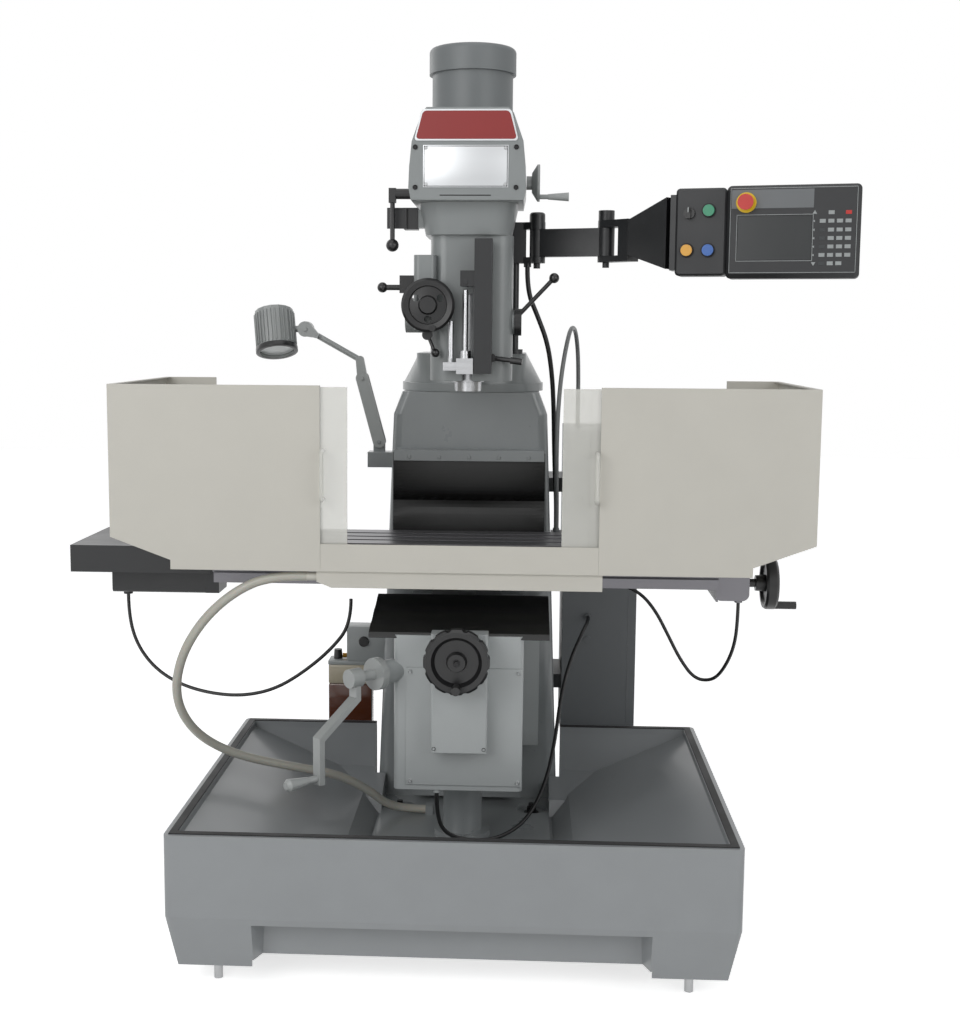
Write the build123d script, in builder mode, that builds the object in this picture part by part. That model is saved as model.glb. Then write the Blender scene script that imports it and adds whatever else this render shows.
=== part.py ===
"""Knee-type CNC milling machine on a chip tray, in millimetres.

X runs along the table, Y points to the rear and Z points up. The origin is on the floor,
midway between the chip tray's four levelling screws.
"""
import os
from math import copysign, cos, hypot, pi, radians, sin, tan

from build123d import *

os.makedirs("parts", exist_ok=True)

# Clearances
slide_gap = 0.3
running_gap = 0.05
sheet = 3.0

# Chip tray
tray_length = 1260.0
tray_width = 982.0
tray_top = 356.0
tray_foot = 52.0
tray_crease = 170.0
tray_taper = 12.0
tray_wall = 6.0
rim_width = 30.0
pan_lip = 340.0
pan_shelf_x = 280.0
pan_shelf_z = 200.0
pan_well_x = 235.0
pan_floor = 150.0
rear_shelf_z = 235.0
rear_shelf_y = 455.0
rear_shelf_front = 320.0
recess_half = 440.0
recess_top = 158.0
recess_depth = 60.0
skirt_bottom = 68.0
screw_inset_x = 103.0
screw_inset_y = 81.0
screw_x = tray_length / 2 - screw_inset_x
screw_y = tray_width / 2 - screw_inset_y
screw_radius = 10.0
screw_hole_radius = screw_radius + 2

# Column and base
base_half = 227.0
base_front = -60.0
base_rear = 900.0
base_top = 160.0
column_front = 430.0
column_rear = 880.0
column_top = 1288.0
column_foot_half = 250.0
column_half = 221.0
column_shoulder = 186.0
column_wall = 32.0
column_way_bottom = 175.0
column_way_top = 1120.0
way_neck = 120.0
way_face = 150.0
way_front = 383.5

# Knee, saddle and table
knee_half = 152.0
knee_front = -180.0
knee_bottom = 373.0
knee_top = 745.0
knee_wall = 22.0
knee_wing_half = 195.0
knee_wing_bottom = 340.0
knee_wing_top = 725.0
knee_wing_front = 330.0
saddle_way_neck = 70.0
saddle_way_half = 92.0
saddle_way_height = 17.0
saddle_way_front = -90.0
saddle_half = 279.0
saddle_front = 60.0
saddle_rear = 354.0
saddle_lip = 730.0
saddle_lip_half = 227.0
saddle_top = 815.0
table_way_neck = 62.0
table_way_half = 78.0
table_way_height = 28.0
table_half = 635.0
table_centre_y = 207.0
table_width = 254.0
table_top = 923.0
table_skirt = 848.0
slot_pitch = 64.0
slot_width = 16.0
slot_depth = 30.0
slot_head_width = 28.0
slot_head_height = 12.0

# Screws and their hand controls
x_screw_z = 816.0
x_screw_radius = 11.0
y_screw_z = 706.0
y_screw_radius = 12.0
lift_screw_y = 130.0
lift_screw_radius = 19.0
pedestal_radius = 50.0
pedestal_top = 510.0
lift_nut = 40.0
lift_screw_end = 235.0
knee_wheel_radius = 76.0
table_wheel_radius = 67.0
crank_z = 657.0
crank_reach = 217.0

# Guards on the table
guard_front = -212.0
guard_rear = 350.0
guard_half = 811.0
guard_inner = 320.0
guard_top = 1326.0
guard_bottom = 898.0
guard_floor_half = 670.0
guard_floor_z = 923.0
guard_edge_z = 976.0
return_inner = 675.0
sill_top = 962.0
trough_bottom = 859.0
trough_half = 330.0
door_bottom = 912.0
door_left_edge = -258.0
door_right_edge = 235.0
door_thickness = 5.0
door_top = guard_top - sheet - slide_gap
door_length = 330.0

# Turret, ram and head
turret_y = 626.0
turret_radius = 198.0
turret_band = 22.0
turret_top = 1392.0
turret_top_half = 150.0
ram_half = 95.0
ram_top = 1555.0
ram_front = 430.0
ram_rear = 1010.0
nod_y = 405.0
nod_z = 1480.0
nod_pin_radius = 14.0
ear_radius = 50.0
tilt_z = 1520.0
head_rear = 330.0
spindle_y = 270.0
head_left = -95.0
head_right = 114.0
head_front = 185.0
head_bottom = 1326.0
head_top = 1690.0
quill_radius = 43.0
quill_travel = 127.0
nose_bottom = 1298.0
nose_radius = 35.0
collet_radius = 12.07
collet_length = 78.0
housing_bottom = 1769.0
housing_top = 1990.0
housing_half = 144.0
housing_front = 105.0
motor_y = 430.0
motor_radius = 106.0
motor_cap_radius = 114.0
motor_top = 2185.0
quill_wheel_x = -96.0
quill_wheel_z = 1515.0
quill_wheel_radius = 66.5

# Pendant arm and pendant
post_x = 118.0
post_y = 480.0
post_radius = 10.0
pivot_1 = (175.0, 460.0)
pivot_2 = (356.0, 400.0)
link_bottom = 1650.0
link_top = 1723.0
pivot_radius = 9.0
pendant_left = (514.0, 178.0)
pendant_turn = -12.8
button_box_width = 124.0
button_box_bottom = 1591.0
button_box_top = 1804.0
display_width = 318.0
display_bottom = 1584.0
display_top = 1808.0
display_depth = 72.0

# Work lamp
lamp_y = 500.0
lamp_base = (-253.0, 1148.0)
lamp_elbow = (-300.0, 1322.0)
lamp_knuckle = (-456.0, 1455.0)
lamp_centre = (-541.0, 1447.0)
lamp_radius = 53.0
lamp_length = 118.0

# Electrical cabinet and lubricator
cabinet_left = 262.0
cabinet_right = 470.0
cabinet_front = 560.0
cabinet_rear = 880.0
cabinet_bottom = 305.0
cabinet_top = 1180.0
cabinet_door = 24.0


def save(piece, label):
    """Name a finished piece and write it to its own file."""
    piece.part.label = label
    export_step(piece.part, f"parts/{label}.step")


def block(x, y, z, mode=Mode.ADD):
    """Add or cut a box between two limits on each axis."""
    with Locations(((x[0] + x[1]) / 2, (y[0] + y[1]) / 2, (z[0] + z[1]) / 2)):
        Box(x[1] - x[0], y[1] - y[0], z[1] - z[0], mode=mode)


def rod(start, direction, radius, length, mode=Mode.ADD):
    """Add or cut a cylinder from a start point along a direction."""
    with Locations(Plane(origin=start, z_dir=direction)):
        Cylinder(radius, length, align=(Align.CENTER, Align.CENTER, Align.MIN), mode=mode)


def front(y):
    """A sketch plane that faces the operator, at depth y."""
    return Plane.XZ.offset(-y)


def side(x):
    """A sketch plane that faces right, at distance x."""
    return Plane.YZ.offset(x)


def level(z):
    """A level sketch plane at height z."""
    return Plane.XY.offset(z)


def prism_along_x(points, x):
    """Extrude a Y-Z outline between two X limits."""
    with BuildSketch(side(x[0])) as outline:
        Polygon(*points, align=None)
    extrude(outline.sketch, amount=x[1] - x[0])


def prism_along_y(points, y, mode=Mode.ADD):
    """Extrude an X-Z outline between two Y limits."""
    with BuildSketch(front(y[1])) as outline:
        Polygon(*points, align=None)
    extrude(outline.sketch, amount=y[1] - y[0], mode=mode)


def mirrored(points):
    """An outline's right half, joined to its mirror image on the left."""
    return list(points) + [(-a, b) for a, b in reversed(points)]


def dovetail(neck, wide, root, tip, grow=0.0):
    """Both sides of a dovetail's outline, grown all round when it is cut as a slot."""
    slope = (wide - neck) / (tip - root)
    ease = grow * hypot(1, slope)
    outward = copysign(1, tip - root)
    start = root - outward
    end = tip + outward * grow
    return mirrored([
        (neck + ease + slope * (start - root), start),
        (neck + ease + slope * (end - root), end),
    ])


# Chip tray: a skirted pan whose floor slopes to a well round the machine's base
def tray_block(shrink, foot):
    with BuildSketch(level(tray_crease)) as outline:
        Rectangle(tray_length - 2 * shrink, tray_width - 2 * shrink)
        fillet(outline.vertices(), 14 - shrink)
    extrude(outline.sketch, amount=tray_top - tray_crease)
    extrude(outline.sketch, amount=-(tray_crease - foot), taper=tray_taper)


def recess(grow):
    """The wedge cut from the foot of the tray's front and rear walls."""
    half = recess_half + grow
    for facing in (-1, 1):
        start = facing * (tray_width / 2 + 4)
        with BuildSketch(front(start)) as opening:
            Polygon(
                (-half - 12, -40),
                (half + 12, -40),
                (half, recess_top + grow),
                (-half, recess_top + grow),
                align=None,
            )
        depth = facing * (recess_depth + 4 + grow)
        extrude(opening.sketch, amount=depth, taper=20, mode=Mode.SUBTRACT)


tray_half_x = tray_length / 2
tray_half_y = tray_width / 2
pan_x = tray_half_x - rim_width
pan_y = tray_half_y - rim_width
pan_sides = mirrored([
    (pan_well_x, pan_floor),
    (pan_shelf_x, pan_shelf_z),
    (pan_x, pan_lip),
    (pan_x, tray_top + 1),
])
pan_ends = [
    (-pan_y, tray_top + 1),
    (-pan_y, pan_lip),
    (-pan_y + 21, pan_floor),
    (rear_shelf_front - 20, pan_floor),
    (rear_shelf_front, pan_shelf_z - 9),
    (rear_shelf_y, rear_shelf_z),
    (pan_y, pan_lip),
    (pan_y, tray_top + 1),
]
under_rim = tray_top - tray_wall - 1
under_sides = mirrored([
    (pan_well_x - 2, pan_floor - tray_wall),
    (pan_shelf_x, pan_shelf_z - tray_wall),
    (pan_x + tray_wall, pan_lip - tray_wall),
    (pan_x + tray_wall, under_rim),
    (tray_half_x, under_rim),
    (tray_half_x, -1),
])
under_ends = [
    (-tray_half_y, -1),
    (-tray_half_y, under_rim),
    (-pan_y - tray_wall, under_rim),
    (-pan_y - tray_wall, pan_lip - tray_wall),
    (-pan_y + 16, pan_floor - tray_wall),
    (rear_shelf_front - 18, pan_floor - tray_wall),
    (rear_shelf_front + 4, pan_shelf_z - 9 - tray_wall),
    (rear_shelf_y + 5, rear_shelf_z - tray_wall),
    (pan_y + tray_wall, pan_lip - tray_wall),
    (pan_y + tray_wall, under_rim),
    (tray_half_y, under_rim),
    (tray_half_y, -1),
]

with BuildPart() as pan_space:
    prism_along_y(pan_sides, (-tray_half_y, tray_half_y))
    with BuildSketch(side(-tray_half_x)):
        Polygon(*pan_ends, align=None)
    extrude(amount=tray_length, mode=Mode.INTERSECT)

with BuildPart() as tray_inside:
    tray_block(tray_wall, tray_foot - 1)
    recess(tray_wall)

with BuildPart() as tray_underside:
    prism_along_y(under_sides, (-tray_half_y, tray_half_y))
    prism_along_x(under_ends, (-tray_half_x, tray_half_x))
    add(tray_inside.part, mode=Mode.INTERSECT)

with BuildPart() as chip_tray:
    tray_block(0, tray_foot)
    recess(0)
    add(pan_space.part, mode=Mode.SUBTRACT)
    add(tray_underside.part, mode=Mode.SUBTRACT)
    block((-recess_half, recess_half), (-tray_half_y, tray_half_y), (0, skirt_bottom), Mode.SUBTRACT)
    for x in (-1, 1):
        for y in (-1, 1):
            plate_x = sorted((x * (screw_x - 67), x * (screw_x + 70)))
            plate_y = sorted((y * (screw_y - 60), y * (screw_y + 50)))
            block(plate_x, plate_y, (tray_foot, tray_foot + 8))
            rod((x * screw_x, y * screw_y, 0), (0, 0, 1), screw_hole_radius, 100, Mode.SUBTRACT)
    block(
        (-base_half - slide_gap, base_half + slide_gap),
        (base_front - slide_gap, tray_half_y + 1),
        (0, tray_top + 1),
        Mode.SUBTRACT,
    )
    shelf_slope = (rear_shelf_z - pan_shelf_z + 9) / (rear_shelf_y - rear_shelf_front)
    shelf_end = column_front - 5
    for x in (-base_half - slide_gap - tray_wall, base_half + slide_gap):
        prism_along_x(
            [
                (rear_shelf_front - 20, pan_floor - tray_wall),
                (rear_shelf_front - 20, pan_floor),
                (rear_shelf_front, pan_shelf_z - 9),
                (shelf_end, pan_shelf_z - 9 + shelf_slope * (shelf_end - rear_shelf_front)),
                (shelf_end, pan_floor - tray_wall),
            ],
            (x, x + tray_wall),
        )
    notch = column_foot_half + 8
    block((-notch, notch), (column_front - 5, tray_half_y + 1), (0, tray_top + 1), Mode.SUBTRACT)
save(chip_tray, "chip_tray")

with BuildPart() as tray_gasket:
    with BuildSketch(level(tray_top)):
        Rectangle(tray_length - 22, tray_width - 22)
        Rectangle(2 * pan_x + 4, 2 * pan_y + 4, mode=Mode.SUBTRACT)
    extrude(amount=2.5)
    block((-notch, notch), (column_front, tray_half_y), (tray_top - 1, tray_top + 4), Mode.SUBTRACT)
save(tray_gasket, "tray_gasket")

with BuildPart() as levelling_screws:
    for x in (-screw_x, screw_x):
        for y in (-screw_y, screw_y):
            rod((x, y, 0), (0, 0, 1), screw_radius, tray_foot + 26)
            with BuildSketch(level(tray_foot - 10)):
                with Locations((x, y)):
                    RegularPolygon(17, 6)
            extrude(amount=10)
            with BuildSketch(level(tray_foot + 8)):
                with Locations((x, y)):
                    RegularPolygon(17, 6)
            extrude(amount=12)
save(levelling_screws, "levelling_screws")

# Column: one casting with the base, dovetail ways on its front and a round seat on top
curtain_back = way_front - 0.5
curtain_top = 1128.0
column_sections = (
    (base_top - 2, column_foot_half, column_rear),
    (921, column_half, column_rear - 45),
    (1228, column_half - 12, column_rear - 55),
    (column_top, column_shoulder, column_rear - 60),
)
anchor_x = 180.0
anchor_front = 340.0

with BuildPart() as column:
    for height, half, rear in column_sections:
        with BuildSketch(level(height)):
            with Locations((0, (column_front + rear) / 2)):
                RectangleRounded(2 * half, rear - column_front, 26)
    loft(ruled=True)
    with BuildSketch(level(0)):
        with Locations((0, (base_front + base_rear) / 2)):
            RectangleRounded(2 * base_half, base_rear - base_front, 30)
    extrude(amount=base_top)
    block(
        (-base_half + column_wall, base_half - column_wall),
        (base_front + column_wall, base_rear - column_wall),
        (0, base_top - column_wall),
        Mode.SUBTRACT,
    )
    inner = column_shoulder - column_wall
    block(
        (-inner, inner),
        (column_front + 40, column_rear - 60 - column_wall),
        (base_top - column_wall - 1, column_top - 60),
        Mode.SUBTRACT,
    )
    with BuildSketch(level(column_way_bottom)):
        Polygon(*dovetail(way_neck, way_face, column_front, way_front), align=None)
    extrude(amount=column_way_top - column_way_bottom)
    for x in (-anchor_x, anchor_x):
        rod((x, anchor_front, base_top - 12), (0, 0, 1), 42, 20, Mode.SUBTRACT)
    rod((0, lift_screw_y, base_top - 1), (0, 0, 1), pedestal_radius + 22, 16)
    rod((0, lift_screw_y, base_top), (0, 0, 1), pedestal_radius, pedestal_top - base_top)
    bore_start = base_top - 2 * column_wall
    bore = pedestal_top - lift_nut - bore_start
    rod((0, lift_screw_y, bore_start), (0, 0, 1), lift_screw_radius + 8, bore, Mode.SUBTRACT)
    rod((0, lift_screw_y, base_top), (0, 0, 1), lift_screw_radius + running_gap, pedestal_top, Mode.SUBTRACT)
    block((-202, 202), (curtain_back - sheet - 6, column_front + 1), (curtain_top + slide_gap, curtain_top + 7))
    block((-202, 202), (curtain_back - sheet - 6, curtain_back - sheet - slide_gap), (curtain_top - 22, curtain_top + 1))
    for x in range(-160, 161, 80):
        rod((x, curtain_back - sheet - 6, curtain_top - 11), (0, -1, 0), 4.5, 3)
    block((-105, -85), (266, 294), (base_top - 1, base_top + 24))
    block((-283, -column_half + 12), (lamp_y - 30, lamp_y + 30), (1078, 1120))
    block((lamp_base[0] - 16, lamp_base[0] + 16), (lamp_y - 8, lamp_y + 8), (1119, lamp_base[1]))
    rod((lamp_base[0], lamp_y - 8, lamp_base[1]), (0, 1, 0), 16, 16)
    rod((lamp_base[0], lamp_y - 22, lamp_base[1]), (0, 1, 0), 5, 44)
save(column, "column")

with BuildPart() as way_curtain:
    block((-204, 204), (curtain_back - sheet, curtain_back), (knee_top + saddle_way_height + 1, curtain_top))
save(way_curtain, "way_curtain")

# Knee: hollow casting that rides the column's dovetail and carries the saddle's ways on top
crank_axis = (-cos(pi / 4), -sin(pi / 4), 0)
crank_root = (-155.0, -168.0, crank_z)


def along_crank(distance, drop=0):
    """A point on the knee crank's shaft line, or below it."""
    return (crank_root[0] + crank_axis[0] * distance, crank_root[1] + crank_axis[1] * distance, crank_z - drop)


screw_slot = 24.0
way_top = knee_top + saddle_way_height
with BuildPart() as knee:
    block((-knee_half, knee_half), (knee_front, column_front - slide_gap), (knee_bottom, knee_top))
    fillet(knee.edges().filter_by(Axis.Z).sort_by(Axis.Y)[:2], 14)
    block(
        (-knee_wing_half, knee_wing_half),
        (knee_wing_front, column_front - slide_gap),
        (knee_wing_bottom, knee_wing_top),
    )
    rod(along_crank(-40), crank_axis, 28, 80)
    block(
        (-knee_half + knee_wall, knee_half - knee_wall),
        (knee_front + knee_wall, way_front - 28),
        (knee_wing_bottom - 1, knee_top - 55),
        Mode.SUBTRACT,
    )
    with BuildSketch(level(knee_wing_bottom - 1)):
        Polygon(*dovetail(way_neck, way_face, column_front, way_front, slide_gap), align=None)
    extrude(amount=knee_top - knee_wing_bottom + 2, mode=Mode.SUBTRACT)
    saddle_way = dovetail(saddle_way_neck, saddle_way_half, knee_top, way_top)
    prism_along_y(saddle_way, (saddle_way_front, way_front - slide_gap))
    rod((0, knee_front - 10, y_screw_z), (0, 1, 0), y_screw_radius + running_gap, 540, Mode.SUBTRACT)
    rod((0, lift_screw_y, lift_screw_end), (0, 0, 1), lift_screw_radius, knee_top - 74 - lift_screw_end)
    rod((0, lift_screw_y, knee_top - 75), (0, 0, 1), 42, 21)
    block((-screw_slot, screw_slot), (-60, 340), (knee_top - 60, way_top + 1), Mode.SUBTRACT)
    rod(along_crank(-60), crank_axis, 12 + running_gap, 120, Mode.SUBTRACT)
    rod((-50, knee_front + knee_wall / 2, knee_bottom + 1), (0, 0, -1), 9, 9)
save(knee, "knee")

drive_left = -62.0
drive_right = 70.0
drive_bottom = 478.0
drive_front = -230.0
cover_left = -123.0
cover_bottom = 386.0
cover_top = 669.0
with BuildPart() as knee_cover:
    block((cover_left, knee_half - 1), (knee_front - sheet, knee_front), (cover_bottom, cover_top))
    for x in (cover_left + 10, knee_half - 11):
        for z in (cover_bottom + 10, cover_top - 10):
            rod((x, knee_front - sheet, z), (0, -1, 0), 4, 2.5)
    block((drive_left, drive_right), (drive_front, knee_front - 1), (drive_bottom, knee_top + 14))
    fillet(knee_cover.edges().filter_by(Axis.Z).sort_by(Axis.Y)[:2], 6)
    block((drive_left, drive_right), (knee_front - sheet, knee_front), (cover_top + 0.5, knee_top))
    rod((0, drive_front - 1, y_screw_z), (0, 1, 0), y_screw_radius + running_gap, 60, Mode.SUBTRACT)
    for x in (drive_left + 8, drive_right - 8):
        rod((x, drive_front, drive_bottom + 10), (0, -1, 0), 3.5, 2.5)
save(knee_cover, "knee_cover")

with BuildPart() as y_handwheel:
    wheel_back = drive_front - 32
    with BuildSketch(side(0)) as section:
        with BuildLine():
            Polyline(
                (wheel_back + 6, y_screw_z),
                (wheel_back + 6, y_screw_z + 24),
                (wheel_back - 8, y_screw_z + 26),
                (wheel_back - 8, y_screw_z + 56),
                (wheel_back, y_screw_z + 62),
                (wheel_back, y_screw_z + knee_wheel_radius - 4),
                (wheel_back - 6, y_screw_z + knee_wheel_radius),
                (wheel_back - 26, y_screw_z + knee_wheel_radius),
                (wheel_back - 32, y_screw_z + knee_wheel_radius - 6),
                (wheel_back - 30, y_screw_z + 58),
                (wheel_back - 18, y_screw_z + 50),
                (wheel_back - 18, y_screw_z + 24),
                (wheel_back - 34, y_screw_z + 20),
                (wheel_back - 34, y_screw_z),
                close=True,
            )
        make_face()
    revolve(axis=Axis((0, 0, y_screw_z), (0, 1, 0)))
    for k in range(12):
        turn = radians(30 * k + 15)
        grip = knee_wheel_radius + 5
        rod(
            (grip * sin(turn), wheel_back - 40, y_screw_z + grip * cos(turn)),
            (0, 1, 0),
            9,
            60,
            Mode.SUBTRACT,
        )
    rod((0, wheel_back - 31, y_screw_z - 58), (0, -1, 0), 10, 34)
    rod((0, wheel_back - 10, y_screw_z), (0, 1, 0), y_screw_radius, 360 - wheel_back)
save(y_handwheel, "y_handwheel")

# Knee crank: dial, shaft, cranked arm and turned handle
crank_step = 105.0
arm_start = 100.0
with BuildPart() as knee_crank:
    rod(along_crank(-45), crank_axis, 12, 40 + 45 + arm_start - 40)
    rod(along_crank(40 + slide_gap), crank_axis, 38, 18)
    rod(along_crank(arm_start), crank_axis, 22, 32)
    across = Vector(crank_axis[1], -crank_axis[0], 0)
    arm_origin = Vector(*along_crank(0)) - across * 13
    with BuildSketch(Plane(origin=arm_origin, x_dir=crank_axis, z_dir=across)):
        Polygon(
            (arm_start + 6, 10),
            (arm_start + 6, -52),
            (arm_start + 6 + crank_step, -130),
            (arm_start + 6 + crank_step, -crank_reach - 14),
            (arm_start + 20 + crank_step, -crank_reach - 14),
            (arm_start + 20 + crank_step, -122),
            (arm_start + 20, -44),
            (arm_start + 20, 10),
            align=None,
        )
    extrude(amount=26)
    grip_start = arm_start + 20 + crank_step
    rod(along_crank(grip_start, crank_reach), crank_axis, 8, 26)
    with Locations(Plane(origin=along_crank(grip_start + 26, crank_reach), z_dir=crank_axis)):
        Cone(9, 15, 52, align=(Align.CENTER, Align.CENTER, Align.MIN))
    with Locations(Plane(origin=along_crank(grip_start + 78, crank_reach), z_dir=crank_axis)):
        Cone(15, 9, 8, align=(Align.CENTER, Align.CENTER, Align.MIN))
save(knee_crank, "knee_crank")

# Saddle, cross-feed nut and the rubber cover over the knee's front ways
table_way_y = table_centre_y
nut_groove = 28.0
nut_floor = saddle_top - 18
table_way_top = saddle_top + table_way_height
nut_y = 220.0
with BuildPart() as saddle:
    prism_along_y(
        mirrored([
            (saddle_lip_half, saddle_lip),
            (saddle_half, saddle_top - 37),
            (saddle_half, saddle_top),
        ]),
        (saddle_front, saddle_rear),
    )
    block(
        (-knee_half - 2 * slide_gap, knee_half + 2 * slide_gap),
        (saddle_front, saddle_rear),
        (saddle_lip, knee_top + slide_gap),
        Mode.SUBTRACT,
    )
    saddle_slot = dovetail(saddle_way_neck, saddle_way_half, knee_top, way_top, slide_gap)
    prism_along_y(saddle_slot, (saddle_front, saddle_rear), Mode.SUBTRACT)
    with BuildSketch(side(-saddle_half)):
        with Locations((table_way_y, 0)):
            Polygon(*dovetail(table_way_neck, table_way_half, saddle_top, table_way_top), align=None)
    extrude(amount=2 * saddle_half)
    block(
        (-saddle_half, saddle_half),
        (table_way_y - nut_groove, table_way_y + nut_groove),
        (nut_floor, table_way_top + 1),
        Mode.SUBTRACT,
    )
    block((-40, 40), (table_way_y - nut_groove, table_way_y + nut_groove), (nut_floor - 1, saddle_top + 22))
    rod((-41, table_way_y, x_screw_z), (1, 0, 0), x_screw_radius + running_gap, 82, Mode.SUBTRACT)
    block((-saddle_half - 18, -saddle_half + 1), (100, 124), (783, 810))
    rod((-saddle_half - 8, 112, 784), (0, 0, -1), 8, 9)
    rod((saddle_half - 1, 340, 797), (1, 0, 0), 9, 13)
    block((-20, 20), (nut_y - 30, nut_y + 30), (y_screw_z - 18, way_top + 1))
    rod((0, nut_y - 31, y_screw_z), (0, 1, 0), y_screw_radius + running_gap, 62, Mode.SUBTRACT)
save(saddle, "saddle")

with BuildPart() as front_way_cover:
    prism_along_x(
        [
            (saddle_front - slide_gap, saddle_top - 14),
            (knee_front + 2, knee_top + slide_gap + sheet),
            (knee_front + 2, knee_top + slide_gap),
            (saddle_front - slide_gap, saddle_top - 14 - sheet),
        ],
        (-212, 212),
    )
save(front_way_cover, "front_way_cover")

# Table with three T-slots, and what is fixed to it
table_front = table_centre_y - table_width / 2
table_rear = table_centre_y + table_width / 2
bracket_reach = 87.0
bracket_right = table_half + bracket_reach
with BuildPart() as table:
    prism_along_x(
        [
            (table_front, table_top),
            (table_rear, table_top),
            (table_rear, table_skirt),
            (table_rear - 15, table_skirt - 8),
            (table_rear - 15, saddle_top + slide_gap),
            (table_front + 15, saddle_top + slide_gap),
            (table_front + 15, table_skirt - 8),
            (table_front, table_skirt),
        ],
        (-table_half, table_half),
    )
    with BuildSketch(side(-table_half)):
        with Locations((table_way_y, 0)):
            Polygon(*dovetail(table_way_neck, table_way_half, saddle_top, table_way_top, slide_gap), align=None)
    extrude(amount=2 * table_half, mode=Mode.SUBTRACT)
    for k in (-1, 0, 1):
        y = table_centre_y + k * slot_pitch
        block((-table_half, table_half), (y - slot_width / 2, y + slot_width / 2), (table_top - slot_depth, table_top), Mode.SUBTRACT)
        block(
            (-table_half, table_half),
            (y - slot_head_width / 2, y + slot_head_width / 2),
            (table_top - slot_depth, table_top - slot_depth + slot_head_height),
            Mode.SUBTRACT,
        )
    with BuildSketch(front(table_way_y + 47)) as shape:
        Polygon(
            (table_half - 1, 776),
            (table_half - 1, 880),
            (bracket_right - 30, 880),
            (bracket_right, 850),
            (bracket_right, 776),
            align=None,
        )
        fillet(shape.vertices().group_by(Axis.Y)[0], 18)
    extrude(amount=94)
    block((table_half - 5, table_half), (table_front + 16, table_rear - 16), (saddle_top - 30, saddle_top + 32))
    rod((table_half - 30, table_way_y, x_screw_z), (1, 0, 0), x_screw_radius + running_gap, 130, Mode.SUBTRACT)
    rod((bracket_right - 23, 190, 777), (0, 0, -1), 10, 9)
save(table, "table")

coupling_left = -table_half - 35
motor_left = coupling_left - 246
with BuildPart() as x_drive_motor:
    block((coupling_left, -table_half), (table_way_y - 50, table_way_y + 50), (x_screw_z - 40, saddle_top + 65))
    with BuildSketch(side(coupling_left)):
        with Locations((table_way_y, x_screw_z)):
            RectangleRounded(86, 86, 12)
    extrude(amount=-(coupling_left - motor_left))
    rod((-table_half - 25, table_way_y, x_screw_z), (1, 0, 0), x_screw_radius + running_gap, 40, Mode.SUBTRACT)
    rod((motor_left + 30, table_way_y, x_screw_z - 43), (0, 0, -1), 12, 10)
save(x_drive_motor, "x_drive_motor")

cover_end = -table_half - 355
with BuildPart() as x_drive_cover:
    block((cover_end, -table_half), (54, 398), (844, 912))
    block((cover_end + sheet, -table_half + 1), (54 + sheet, 398 - sheet), (843, 912 - sheet), Mode.SUBTRACT)
    block((-table_half - 0.01, -table_half + 2), (table_front, table_rear), (843, 913), Mode.SUBTRACT)
save(x_drive_cover, "x_drive_cover")

wheel_inner = bracket_right + 43
with BuildPart() as x_handwheel:
    with BuildSketch(front(table_way_y)) as section:
        with BuildLine():
            Polyline(
                (wheel_inner - 22, x_screw_z),
                (wheel_inner - 22, x_screw_z + 20),
                (wheel_inner + 4, x_screw_z + 22),
                (wheel_inner + 4, x_screw_z + 50),
                (wheel_inner - 2, x_screw_z + 54),
                (wheel_inner - 2, x_screw_z + table_wheel_radius - 4),
                (wheel_inner + 4, x_screw_z + table_wheel_radius),
                (wheel_inner + 24, x_screw_z + table_wheel_radius),
                (wheel_inner + 30, x_screw_z + table_wheel_radius - 6),
                (wheel_inner + 26, x_screw_z + 54),
                (wheel_inner + 16, x_screw_z + 50),
                (wheel_inner + 16, x_screw_z + 20),
                (wheel_inner + 22, x_screw_z + 16),
                (wheel_inner + 22, x_screw_z),
                close=True,
            )
        make_face()
    revolve(axis=Axis((0, table_way_y, x_screw_z), (1, 0, 0)))
    rod((wheel_inner + 27, table_way_y, x_screw_z - 57), (1, 0, 0), 10, 56)
    rod((-table_half - 20, table_way_y, x_screw_z), (1, 0, 0), x_screw_radius, table_half + wheel_inner + 46)
save(x_handwheel, "x_handwheel")

# Splash pan, trough and sheet guards that ride on the table
with BuildPart() as splash_pan:
    block((-table_half + 1, table_half - 1), (guard_front + sheet, table_front), (guard_bottom, guard_bottom + sheet))
    block(
        (-guard_inner + slide_gap, guard_inner - slide_gap),
        (guard_front, guard_front + sheet),
        (guard_bottom, sill_top),
    )
    block((-table_half + 1, table_half - 1), (guard_front + 16, guard_front + 18), (guard_bottom + sheet - 1, guard_bottom + 20))
save(splash_pan, "splash_pan")

with BuildPart() as drain_trough:
    with BuildSketch(front(-60)):
        Polygon(
            (-trough_half, guard_bottom),
            (-trough_half, trough_bottom + 14),
            (-trough_half + 34, trough_bottom),
            (trough_half, trough_bottom),
            (trough_half, guard_bottom),
            align=None,
        )
    extrude(amount=145)
    block(
        (-trough_half + 36, trough_half - sheet),
        (-202, -60 - sheet),
        (trough_bottom + sheet, guard_bottom + 1),
        Mode.SUBTRACT,
    )
    rod((-trough_half, -190, trough_bottom + 24), (-1, 0, 0), 10, 24)
    rod((-trough_half - 25, -190, trough_bottom + 24), (1, 0, 0), 6, 65, Mode.SUBTRACT)
save(drain_trough, "drain_trough")


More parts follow.
